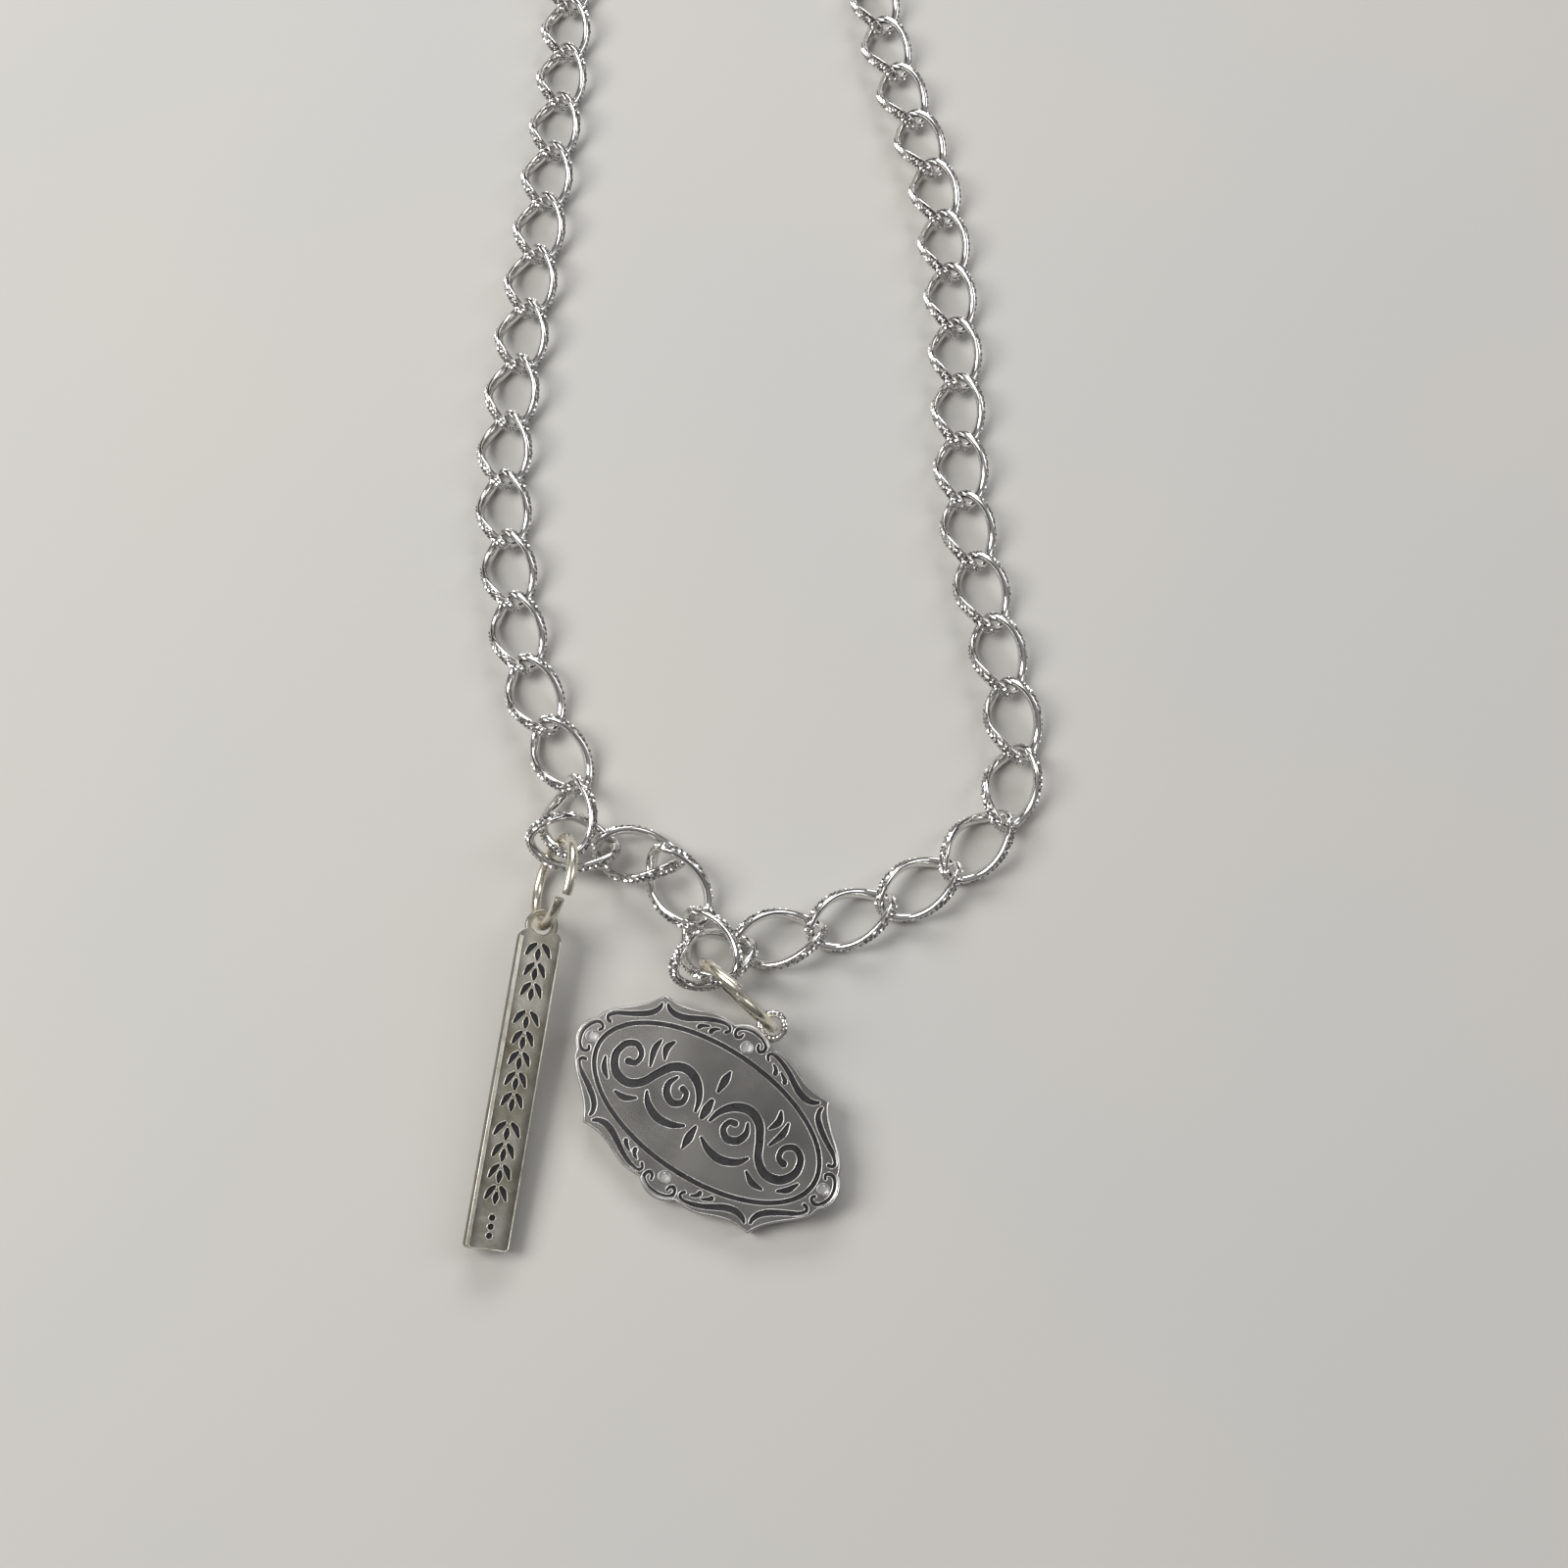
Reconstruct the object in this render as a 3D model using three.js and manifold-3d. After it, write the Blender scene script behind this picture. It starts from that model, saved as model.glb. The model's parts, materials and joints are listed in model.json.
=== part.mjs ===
// A pendant necklace laid out flat: an open curb chain with two charms, each on a cut jump ring,
// and a lobster clasp that lies unfastened at the far end of the loop.
// Millimetres, +Z up, +Y away from the charms. The origin is the bottom centre of the whole piece.

import * as THREE from 'three';
import { mergeVertices } from 'three/addons/utils/BufferGeometryUtils.js';
import Module from 'manifold-3d';

const wasm = await Module();
wasm.setup();

// Driving dimensions
const CLEARANCE = 0.35;              // play between pieces that hook into each other
const LINK_PITCH = 7.4;              // chain length that one link adds
const CHAIN_WIRE = 1.05;
const LINK_HALF_WIDTH = 2.6;         // to the middle of the wire
const LINK_TWIST = Math.PI / 4;      // each end of a link leans this far, so neighbours cross square
const LINK_HALF_LENGTH = (LINK_PITCH + CHAIN_WIRE + CLEARANCE) / 2;
const WELDED_HALF_LENGTH = (LINK_PITCH + CHAIN_WIRE - 0.2) / 2;
const LINKS_PER_SEGMENT = 3;         // links joined into one piece where the chain is repeated out of sight
const CHAIN_HEIGHT = 1.5;            // middle of a link that lies flat

const RING_RADIUS = 4.45;            // charm jump rings, to the middle of the wire
const RING_WIRE = 1.1;
const RING_CUT = 0.6;
const RING_OFFSET = 0.45;            // sideways step between the two cut ends

const END_RING_RADIUS = 2.45;        // the small closed rings at the clasp
const END_RING_WIRE = 0.8;

const BAR = { length: 29.6, width: 4.0, thickness: 1.9, rim: 0.4, recess: 0.35 };
const PLAQUE = { halfLength: 14.5, halfWidth: 9.1, thickness: 1.7, rim: 0.5, recess: 0.25 };
const BAR_EYE = { hole: 1.0, outer: 1.6, thickness: 0.7, toShoulder: 0.6 };
const PLAQUE_EYE = { hole: 0.95, outer: 1.5, thickness: 0.7 };
const CRYSTAL = { radius: 0.55, height: 0.55, seat: 0.3 };
const CLASP = { thickness: 2.6, slot: 1.2, lever: 0.8, pin: 0.35, pinHole: 0.55 };

const WIRE_SIDES = 6;
const LINK_STEPS = 16;
const RING_STEPS = 22;

// Finishes
const finish = (colour, roughness, metalness) => () =>
  new THREE.MeshStandardMaterial({ color: colour, roughness, metalness });
const brightSilver = finish(0xc9c8c4, 0.18, 1);
const paleChampagne = finish(0xcbc2a6, 0.22, 1);
const antiqueSilver = finish(0xa9a48c, 0.35, 1);
const satinSteel = finish(0x8f8d88, 0.4, 1);
const clearCrystal = finish(0xeef3f5, 0.05, 0);

const model = new THREE.Group();
const radians = THREE.MathUtils.degToRad;

// A piece is laid by the place of its middle, the heading of its long axis in plan, how far
// that axis climbs (tilt) and how far its right-hand side is raised (roll), all in degrees.
function lay(object, { at, heading = 0, tilt = 0, roll = 0 }) {
  object.position.set(...at);
  object.rotation.set(-radians(roll), -radians(tilt), radians(heading), 'ZYX');
  return object;
}

function addMesh(parent, name, geometry, material) {
  const mesh = new THREE.Mesh(geometry, material());
  mesh.name = name;
  parent.add(mesh);
  return mesh;
}

// Solids that need joining or cutting pass through manifold-3d
function toSolid(geometry) {
  const plain = geometry.clone();
  plain.deleteAttribute('normal');
  plain.deleteAttribute('uv');
  const merged = mergeVertices(plain, 1e-4);
  return new wasm.Manifold(new wasm.Mesh({
    numProp: 3,
    vertProperties: new Float32Array(merged.attributes.position.array),
    triVerts: new Uint32Array(merged.index.array),
  }));
}

function toGeometry(solid) {
  const mesh = solid.getMesh();
  const geometry = new THREE.BufferGeometry();
  geometry.setAttribute('position', new THREE.BufferAttribute(mesh.vertProperties, 3));
  geometry.setIndex(new THREE.BufferAttribute(mesh.triVerts, 1));
  return geometry;
}

function polygon(radius, sides) {
  const corners = [];
  for (let i = 0; i < sides; i += 1) {
    const angle = (2 * Math.PI * i) / sides;
    corners.push(new THREE.Vector2(radius * Math.cos(angle), radius * Math.sin(angle)));
  }
  return corners;
}

function plate(points, thickness, holes = []) {
  const shape = new THREE.Shape(points);
  holes.forEach((hole) => shape.holes.push(new THREE.Path(hole)));
  const geometry = new THREE.ExtrudeGeometry(shape, { depth: thickness, bevelEnabled: false });
  return geometry.translate(0, 0, -thickness / 2);
}

// ---- Chain ----

// One curb link: an oval whose two ends lean opposite ways. The two ends may reach
// different distances from its middle.
class LinkCurve extends THREE.Curve {
  constructor(front, back) {
    super();
    this.front = front;
    this.back = back;
  }

  getPoint(u, target = new THREE.Vector3()) {
    const angle = 2 * Math.PI * u;
    const along = Math.cos(angle);
    const across = LINK_HALF_WIDTH * Math.sin(angle);
    const lean = LINK_TWIST * along;
    const reach = along > 0 ? this.front : this.back;
    return target.set(reach * along, -across * Math.cos(lean), across * Math.sin(lean));
  }
}

function linkGeometry(front = LINK_HALF_LENGTH, back = LINK_HALF_LENGTH) {
  return new THREE.TubeGeometry(new LinkCurve(front, back), LINK_STEPS, CHAIN_WIRE / 2, WIRE_SIDES, true);
}

// Junctions one pitch apart along a smooth route through the given plan points
function junctions(points, count) {
  const route = new THREE.CatmullRomCurve3(points.map(([x, y]) => new THREE.Vector3(x, y, 0)),
    false, 'catmullrom', 0.5);
  const samples = route.getPoints(points.length * 200);
  const found = [samples[0]];
  for (const sample of samples) {
    if (found.length > count) break;
    if (sample.distanceTo(found[found.length - 1]) >= LINK_PITCH) found.push(sample);
  }
  return found;
}

// Places of flat-lying links between successive junctions
function linkPlaces(route) {
  return route.slice(1).map((end, i) => {
    const start = route[i];
    return {
      at: [(start.x + end.x) / 2, (start.y + end.y) / 2, CHAIN_HEIGHT],
      heading: THREE.MathUtils.radToDeg(Math.atan2(end.y - start.y, end.x - start.x)),
    };
  });
}

// A stretch of links joined into one solid. It hooks loosely into its neighbours at both ends.
function segmentGeometry(places) {
  const last = places.length - 1;
  const solids = places.map((place, i) => {
    const front = i === last ? LINK_HALF_LENGTH : WELDED_HALF_LENGTH;
    const back = i === 0 ? LINK_HALF_LENGTH : WELDED_HALF_LENGTH;
    const link = lay(new THREE.Object3D(), place);
    link.updateMatrix();
    return toSolid(linkGeometry(front, back).applyMatrix4(link.matrix));
  });
  return toGeometry(solids.reduce((joined, solid) => joined.add(solid)));
}

function layRun(side, points, singleLinks, segments) {
  const total = singleLinks + segments * LINKS_PER_SEGMENT;
  const places = linkPlaces(junctions(points, total));
  for (let i = 0; i < singleLinks; i += 1) {
    const name = `link_${side}_${String(i + 1).padStart(2, '0')}`;
    lay(addMesh(model, name, linkGeometry(), brightSilver), places[i]);
  }
  for (let i = 0; i < segments; i += 1) {
    const first = singleLinks + i * LINKS_PER_SEGMENT;
    const group = places.slice(first, first + LINKS_PER_SEGMENT);
    addMesh(model, `segment_${side}_${i + 1}`, segmentGeometry(group), brightSilver);
  }
  return places[places.length - 1];
}

const LEFT_ROUTE = [
  [-21.0, -0.9], [-27.0, 12.2], [-30.6, 33.8], [-29.9, 49.0], [-28.7, 63.6], [-27.7, 78.1],
  [-26.8, 92.6], [-26.8, 125], [-27.2, 142], [-26.0, 155], [-21.5, 166], [-13, 173], [-4, 176],
];
const RIGHT_ROUTE = [
  [-4.15, -17.25], [2.9, -16.0], [9.7, -13.3], [16.2, -9.9], [21.5, -5.0], [24.0, 2.0],
  [21.8, 16.6], [19.4, 31.1], [19.2, 53.2], [17.6, 74.4], [14.0, 88.3], [11.2, 102], [9.6, 125],
  [9.6, 142], [9.0, 155], [5, 166], [-2, 174], [-10, 178],
];
const LEFT_LINKS = 15;
const RIGHT_LINKS = 20;
const SEGMENTS_PER_SIDE = 3;

const leftEnd = layRun('left', LEFT_ROUTE, LEFT_LINKS, SEGMENTS_PER_SIDE);
const rightEnd = layRun('right', RIGHT_ROUTE, RIGHT_LINKS, SEGMENTS_PER_SIDE);

// The six bottom links lie jumbled, because the charms' rings have slid two of them inside
// their neighbours
const JUMBLED_LINKS = {
  link_bar_carrier: { at: [-21.38, -4.52, 3.01], heading: 89.5, tilt: -14.6, roll: 17.1 },
  link_bar_cross: { at: [-20.8, -7.16, 2.7], heading: -2, tilt: -21.5, roll: -4.1 },
  link_middle_1: { at: [-14.5, -8.15, 1.6], heading: -11, tilt: 4.5, roll: 6.5 },
  link_middle_2: { at: [-10.4, -11.6, 2.1], heading: -59.5, tilt: -7.5, roll: -9 },
  link_plaque_carrier: { at: [-7.4, -17.86, 3.1], heading: -61.8, tilt: 22.9, roll: -18.1 },
  link_plaque_cross: { at: [-6.85, -18.81, 2.76], heading: 25.4, tilt: -23.3, roll: -2.8 },
};
for (const [name, place] of Object.entries(JUMBLED_LINKS)) {
  lay(addMesh(model, name, linkGeometry(), brightSilver), place);
}

// ---- Charm jump rings ----

// An open ring. It is cut at cutAngle, where its ends stand a little out of line.
class CutRingCurve extends THREE.Curve {
  constructor(cutAngle) {
    super();
    this.start = cutAngle + RING_CUT / RING_RADIUS / 2;
    this.sweep = 2 * Math.PI - RING_CUT / RING_RADIUS;
  }

  getPoint(u, target = new THREE.Vector3()) {
    const angle = this.start + this.sweep * u;
    return target.set(RING_RADIUS * Math.cos(angle), RING_RADIUS * Math.sin(angle), RING_OFFSET * (u - 0.5));
  }
}

function jumpRing(name, cutAngle, place) {
  const geometry = new THREE.ExtrudeGeometry(new THREE.Shape(polygon(RING_WIRE / 2, WIRE_SIDES)),
    { extrudePath: new CutRingCurve(radians(cutAngle)), steps: RING_STEPS, bevelEnabled: false });
  lay(addMesh(model, name, geometry, paleChampagne), place);
}

const BAR_RING = { at: [-22.33, -11.71, 4.44], heading: 261.5, tilt: -2, roll: -62 };
const PLAQUE_RING = { at: [-4.3, -22.98, 4.88], heading: -41.7, tilt: 1.9, roll: 84 };
jumpRing('jump_ring_bar', 90, BAR_RING);
jumpRing('jump_ring_plaque', -66, PLAQUE_RING);

// The point of a ring's wire at an angle from the end of its long axis
function pointOnRing(ring, angle) {
  const frame = lay(new THREE.Object3D(), ring);
  frame.updateMatrix();
  const turn = radians(angle);
  const local = new THREE.Vector3(RING_RADIUS * Math.cos(turn), RING_RADIUS * Math.sin(turn), 0);
  return local.applyMatrix4(frame.matrix);
}

// ---- Charms. Each is drawn with its eye's hole at its own origin, which hangs on its ring. ----

function eyeSolid(eye) {
  return toSolid(plate(polygon(eye.outer, 14), eye.thickness, [polygon(eye.hole, 10)]));
}

function toPoints(pairs) {
  return pairs.map(([x, y]) => new THREE.Vector2(x, y));
}

function rectangle(left, right, bottom, top) {
  return toPoints([[left, bottom], [right, bottom], [right, top], [left, top]]);
}

function barGeometry() {
  const start = BAR_EYE.toShoulder;
  const end = start + BAR.length;
  const half = BAR.width / 2;
  const inner = half - BAR.rim;
  const body = toSolid(plate(rectangle(start, end, -half, half), BAR.thickness));
  const panelStart = BAR_EYE.hole + BAR.rim;
  const panel = toSolid(plate(rectangle(panelStart, end - BAR.rim, -inner, inner), BAR.recess * 2));
  const hole = toSolid(plate(polygon(BAR_EYE.hole, 10), BAR.thickness * 2));
  const solid = body.add(eyeSolid(BAR_EYE)).subtract(hole);
  return toGeometry(solid.subtract(panel.translate([0, 0, BAR.thickness / 2])));
}

// Outline of the plaque's first quarter: half of the end lobe, a hollow side that climbs to a
// pointed corner, another hollow side, and half of the top lobe
function plaqueQuarter(grow) {
  const corner = [9.25 + grow * 0.6, 7.05 + grow];
  const outline = new THREE.Path();
  outline.moveTo(PLAQUE.halfLength + grow, 0);
  outline.quadraticCurveTo(PLAQUE.halfLength + grow, 1.1, 13.55 + grow, 1.8);
  outline.bezierCurveTo(13.4 + grow, 3.6, 10.2 + grow, 4.6, corner[0], corner[1]);
  outline.bezierCurveTo(5.6, 6.6 + grow, 5.4, 8.7 + grow, 2.0, 8.25 + grow);
  outline.quadraticCurveTo(1.1, PLAQUE.halfWidth + grow, 0, PLAQUE.halfWidth + grow);
  return outline.getPoints(4).filter((p, i, all) => i === 0 || p.distanceTo(all[i - 1]) > 1e-3);
}

function plaqueOutline(grow = 0) {
  const quarter = plaqueQuarter(grow);
  const upper = [...quarter, ...quarter.slice(0, -1).reverse().map((p) => new THREE.Vector2(-p.x, p.y))];
  const lower = upper.slice(1, -1).reverse().map((p) => new THREE.Vector2(p.x, -p.y));
  return [...upper, ...lower];
}

const CRYSTAL_SPOTS = { right: [13.0, 0], top: [0, 7.0], left: [-13.0, 0], bottom: [0, -7.0] };
// The plaque's middle, from the middle of its eye's hole. The eye stands a little to the right.
const PLAQUE_MIDDLE = new THREE.Vector2(-0.9, -(PLAQUE.halfWidth + PLAQUE_EYE.hole - 0.05));

function plaqueGeometry() {
  const body = toSolid(plate(plaqueOutline(), PLAQUE.thickness));
  const panel = toSolid(plate(plaqueOutline(-PLAQUE.rim), PLAQUE.recess * 2));
  let solid = body.subtract(panel.translate([0, 0, PLAQUE.thickness / 2]));
  solid = solid.translate([PLAQUE_MIDDLE.x, PLAQUE_MIDDLE.y, 0]).add(eyeSolid(PLAQUE_EYE));
  for (const [x, y] of Object.values(CRYSTAL_SPOTS)) {
    const seat = toSolid(plate(polygon(CRYSTAL.radius + 0.15, 10), 2 * CRYSTAL.seat));
    const at = [x + PLAQUE_MIDDLE.x, y + PLAQUE_MIDDLE.y, PLAQUE.thickness / 2 - PLAQUE.recess];
    solid = solid.subtract(seat.translate(at));
  }
  return toGeometry(solid);
}

function crystalGeometry() {
  const { radius, height } = CRYSTAL;
  const profile = [[0, 0], [radius * 0.5, 0], [radius, height * 0.5], [radius * 0.6, height], [0, height]];
  return new THREE.LatheGeometry(profile.map(([x, y]) => new THREE.Vector2(x, y)), 8).rotateX(Math.PI / 2);
}

const BAR_SLACK = new THREE.Vector3(0.05, 0, 0.35);       // how far the bar's eye hangs off its ring's wire
const barEye = pointOnRing(BAR_RING, -12).add(BAR_SLACK);
const barGroup = lay(new THREE.Group(), { at: barEye.toArray(), heading: 262.2, tilt: -4.2, roll: 20 });
addMesh(barGroup, 'bar_charm', barGeometry(), antiqueSilver);
model.add(barGroup);

const plaqueEye = pointOnRing(PLAQUE_RING, 24);
const plaqueGroup = lay(new THREE.Group(), { at: plaqueEye.toArray(), heading: -33, tilt: 0, roll: -7.4 });
addMesh(plaqueGroup, 'plaque_charm', plaqueGeometry(), satinSteel);
for (const [side, [x, y]] of Object.entries(CRYSTAL_SPOTS)) {
  const floor = PLAQUE.thickness / 2 - PLAQUE.recess - CRYSTAL.seat + 0.03;
  const stone = crystalGeometry().translate(x + PLAQUE_MIDDLE.x, y + PLAQUE_MIDDLE.y, floor);
  addMesh(plaqueGroup, `crystal_${side}`, stone, clearCrystal);
}
model.add(plaqueGroup);

// ---- Clasp ----

// The small rings at the clasp lean like a link's end does, so they hook square into it
const END_RING_LEAN = -45;
const END_RING_OVERLAP = (CHAIN_WIRE + END_RING_WIRE) / 2 + CLEARANCE + 0.15;
const END_RING_REACH = LINK_HALF_LENGTH + END_RING_RADIUS - END_RING_OVERLAP;
const END_RING_HEIGHT = 2.05;

function beyond(place, distance, height) {
  const heading = radians(place.heading);
  return [place.at[0] + distance * Math.cos(heading), place.at[1] + distance * Math.sin(heading), height];
}

function endRing(name, link) {
  const circle = new THREE.EllipseCurve(0, 0, END_RING_RADIUS, END_RING_RADIUS);
  const path = new THREE.CatmullRomCurve3(circle.getPoints(12).slice(0, -1)
    .map((p) => new THREE.Vector3(p.x, p.y, 0)), true);
  const geometry = new THREE.TubeGeometry(path, 14, END_RING_WIRE / 2, WIRE_SIDES, true);
  const at = beyond(link, END_RING_REACH, END_RING_HEIGHT);
  lay(addMesh(model, name, geometry, brightSilver), { at, heading: link.heading, roll: END_RING_LEAN });
}

endRing('clasp_ring', leftEnd);
endRing('end_ring', rightEnd);

// The clasp's own frame has its tail eye at the origin and its nose along +X. The lever is on +Y.
const CLASP_EYE = { hole: 1.55, outer: 2.2, thickness: 0.8 };
const CLASP_PIN = new THREE.Vector2(4.4, 0.9);
const HOOK = { middle: 7.9, radiusX: 3.3, radiusY: 2.55, band: 1.5, from: 170, to: 425, steps: 18 };

function cylinder(radius, length, sides) {
  return toSolid(plate(polygon(radius, sides), length));
}

function hookOutline() {
  const edge = (offset) => {
    const points = [];
    for (let i = 0; i <= HOOK.steps; i += 1) {
      const angle = radians(HOOK.from + ((HOOK.to - HOOK.from) * i) / HOOK.steps);
      points.push(new THREE.Vector2(HOOK.middle + (HOOK.radiusX + offset) * Math.cos(angle),
        (HOOK.radiusY + offset) * Math.sin(angle)));
    }
    return points;
  };
  return [...edge(HOOK.band / 2), ...edge(-HOOK.band / 2).reverse()];
}

function claspBody() {
  const outline = toPoints([[1.6, -0.9], [2.6, -1.9], [5.2, -2.2], [5.6, -1.0], [5.4, 1.7], [2.6, 1.7],
    [1.6, 0.9]]);
  const shank = toSolid(plate(outline, CLASP.thickness));
  const hook = toSolid(plate(hookOutline(), CLASP.thickness));
  const slot = toSolid(plate(rectangle(2.4, 7.2, -0.5, 3.6), CLASP.slot));
  const pinHole = cylinder(CLASP.pinHole, CLASP.thickness * 2, 10).translate([CLASP_PIN.x, CLASP_PIN.y, 0]);
  return eyeSolid(CLASP_EYE).add(shank).add(hook).subtract(slot).subtract(pinHole);
}

function claspLever() {
  const outline = new THREE.Path();
  outline.moveTo(3.2, 1.4);
  outline.lineTo(2.9, 3.4);
  outline.lineTo(3.9, 3.2);
  outline.quadraticCurveTo(4.4, 2.1, 5.4, 2.1);
  outline.quadraticCurveTo(7.2, 2.7, 8.7, 2.5);
  outline.lineTo(8.7, 1.6);
  outline.quadraticCurveTo(6.6, 1.5, 5.3, 0.6);
  outline.quadraticCurveTo(4.4, -0.2, 3.6, 0.5);
  outline.closePath();
  const lever = toSolid(plate(outline.getPoints(3).slice(0, -1), CLASP.lever));
  const pinHole = cylinder(CLASP.pinHole, CLASP.thickness, 10);
  return lever.subtract(pinHole.translate([CLASP_PIN.x, CLASP_PIN.y, 0]));
}

const CLASP_TURN = 42;                                    // from the chain's line, in the plane of the table
const CLASP_DROOP = -3.5;                                 // its nose rests on the table
const claspGroup = new THREE.Group();
lay(claspGroup, {
  at: beyond(leftEnd, END_RING_REACH + END_RING_RADIUS - 0.3, END_RING_HEIGHT - 0.05),
  heading: leftEnd.heading + CLASP_TURN,
  tilt: CLASP_DROOP,
});
addMesh(claspGroup, 'clasp_body', toGeometry(claspBody()), brightSilver);
addMesh(claspGroup, 'clasp_lever', toGeometry(claspLever()), brightSilver);
const pinGeometry = plate(polygon(CLASP.pin, 10), CLASP.thickness);
addMesh(claspGroup, 'clasp_pin', pinGeometry.translate(CLASP_PIN.x, CLASP_PIN.y, 0), brightSilver);
model.add(claspGroup);

// Stand the whole piece on the origin: centred in plan, with its lowest point at zero
model.updateMatrixWorld(true);
const bounds = new THREE.Box3().setFromObject(model, true);
model.position.set(-(bounds.min.x + bounds.max.x) / 2, -(bounds.min.y + bounds.max.y) / 2, -bounds.min.z);
model.updateMatrixWorld(true);

export default model;
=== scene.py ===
"""A pendant necklace laid on a pale sheet: an engraved curb chain, a bar charm and a stone-set
plaque charm on cut jump rings, and a lobster clasp that lies unfastened at the loop's far end."""
import json
import math

import bmesh
import bpy
import numpy as np
from mathutils import Matrix, Vector


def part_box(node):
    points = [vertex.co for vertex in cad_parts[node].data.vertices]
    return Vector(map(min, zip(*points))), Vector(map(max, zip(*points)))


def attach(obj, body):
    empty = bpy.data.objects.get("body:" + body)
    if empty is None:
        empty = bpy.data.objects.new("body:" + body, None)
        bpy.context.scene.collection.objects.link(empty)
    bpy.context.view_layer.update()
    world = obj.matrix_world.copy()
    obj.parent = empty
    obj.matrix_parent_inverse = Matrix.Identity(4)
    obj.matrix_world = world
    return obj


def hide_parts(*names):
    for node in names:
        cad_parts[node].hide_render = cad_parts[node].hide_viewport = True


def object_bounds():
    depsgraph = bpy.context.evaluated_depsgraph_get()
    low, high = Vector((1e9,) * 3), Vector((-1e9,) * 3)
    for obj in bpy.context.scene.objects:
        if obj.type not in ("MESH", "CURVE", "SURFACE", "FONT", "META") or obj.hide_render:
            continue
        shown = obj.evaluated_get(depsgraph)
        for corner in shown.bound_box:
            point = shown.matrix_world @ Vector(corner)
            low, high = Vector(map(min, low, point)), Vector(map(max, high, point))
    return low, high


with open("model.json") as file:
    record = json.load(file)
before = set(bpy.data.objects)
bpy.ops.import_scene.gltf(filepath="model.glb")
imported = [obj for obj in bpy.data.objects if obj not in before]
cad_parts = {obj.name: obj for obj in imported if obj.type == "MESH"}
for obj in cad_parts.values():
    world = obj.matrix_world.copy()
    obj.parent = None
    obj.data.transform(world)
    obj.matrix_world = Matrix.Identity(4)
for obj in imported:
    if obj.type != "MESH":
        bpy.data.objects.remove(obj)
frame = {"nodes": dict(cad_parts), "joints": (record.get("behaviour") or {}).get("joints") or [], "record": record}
CAD_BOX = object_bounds()
JOINTS = {joint["name"]: joint for joint in frame["joints"]}
MM = 0.001

# Lengths are in millimetres in each piece's own frame, and metres in the scene
LINK_PITCH = 7.4
LINK_HALF_LENGTH = 4.39           # to the middle of the wire
LINK_HALF_WIDTH = 2.59
LINK_TWIST = math.pi / 4
LINK_FLOOR = 1.49                 # a link that lies flat is worn no lower than this
WIRE_DEPTH = 0.51                 # half the wire's thickness, from inside to outside of a link
WIRE_HEIGHT = 0.64                # half its height, across the link's plane
FACET_DEPTH = 0.08
FACET_LEAST = 0.6                 # peaks and dips are this many facet depths from their middle,
FACET_EXTRA = 0.8                 # and up to this many more. The highest peak meets the smooth wire
FACET_SPREAD = 70                 # degrees to each side of the wire's outermost line
LINK_STEPS = 96
FACET_ROWS = 6
SMOOTH_ROWS = 12

RING_RADIUS = 4.4
RING_WIRE = 0.52
RING_CUT = 0.6                    # between the two cut ends, along the ring
RING_OFFSET = 0.45                # between them, across the ring
RING_STEPS = 160
RING_SIDES = 28
RING_END_WEAR = 0.04              # the cut ends are slightly rounded over

SMALL_RING_RADIUS = 2.45
SMALL_RING_WIRE = 0.36
SMALL_RING_STEPS = 96
SMALL_RING_SIDES = 24

BAR_START = 0.6                   # from the middle of the bar's eye
BAR_LENGTH = 29.6
BAR_HALF_WIDTH = 2.0
BAR_HALF_THICKNESS = 0.95

PLAQUE_HALF_LENGTH = 14.5
PLAQUE_HALF_WIDTH = 9.1
PLAQUE_HALF_THICKNESS = 0.85
CRYSTAL_RADIUS = 0.5


# ---- Materials ----

NOISE_MIDDLE = (0.3, 0.7)         # the part of a noise's range that is stretched over its ramp
GLOSS_PATCHES = 2.3               # gloss varies in smaller patches than colour
GLOSS_RANGE = (0.75, 1.3)
RELIEF_DEPTH = 0.05 * MM


def set_range(ramp, source, target):
    """Makes a Map Range node run from one (low, high) range to another."""
    ramp.inputs["From Min"].default_value, ramp.inputs["From Max"].default_value = source
    ramp.inputs["To Min"].default_value, ramp.inputs["To Max"].default_value = target


def mixed(nodes, links, factor, first, second):
    """A colour that runs from the first to the second."""
    mix = nodes.new("ShaderNodeMix")
    mix.data_type = "RGBA"
    mix.inputs["A"].default_value = (*first, 1)
    mix.inputs["B"].default_value = (*second, 1)
    links.new(factor, mix.inputs["Factor"])
    return mix.outputs["Result"]


def new_material(name):
    material = bpy.data.materials.new(name)
    material.use_nodes = True
    return material, material.node_tree.nodes, material.node_tree.links


def noise_ramp(nodes, links, vector, scale, low, high, detail=4.0, stretch=(1, 1, 1)):
    """A noise of the given scale that runs between two values."""
    mapping = nodes.new("ShaderNodeMapping")
    mapping.inputs["Scale"].default_value = stretch
    links.new(vector, mapping.inputs["Vector"])
    noise = nodes.new("ShaderNodeTexNoise")
    noise.inputs["Scale"].default_value = scale
    noise.inputs["Detail"].default_value = detail
    links.new(mapping.outputs["Vector"], noise.inputs["Vector"])
    ramp = nodes.new("ShaderNodeMapRange")
    set_range(ramp, NOISE_MIDDLE, (low, high))
    links.new(noise.outputs["Fac"], ramp.inputs["Value"])
    return ramp.outputs["Result"]


def place_in(nodes, links, frame_of_piece):
    """The shaded point in the frame of one piece, whose place is baked into its mesh."""
    away = frame_of_piece.inverted()
    mapping = nodes.new("ShaderNodeMapping")
    mapping.inputs["Location"].default_value = away.translation
    mapping.inputs["Rotation"].default_value = away.to_euler()
    links.new(nodes.new("ShaderNodeTexCoord").outputs["Object"], mapping.inputs["Vector"])
    return mapping.outputs["Vector"]


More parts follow.
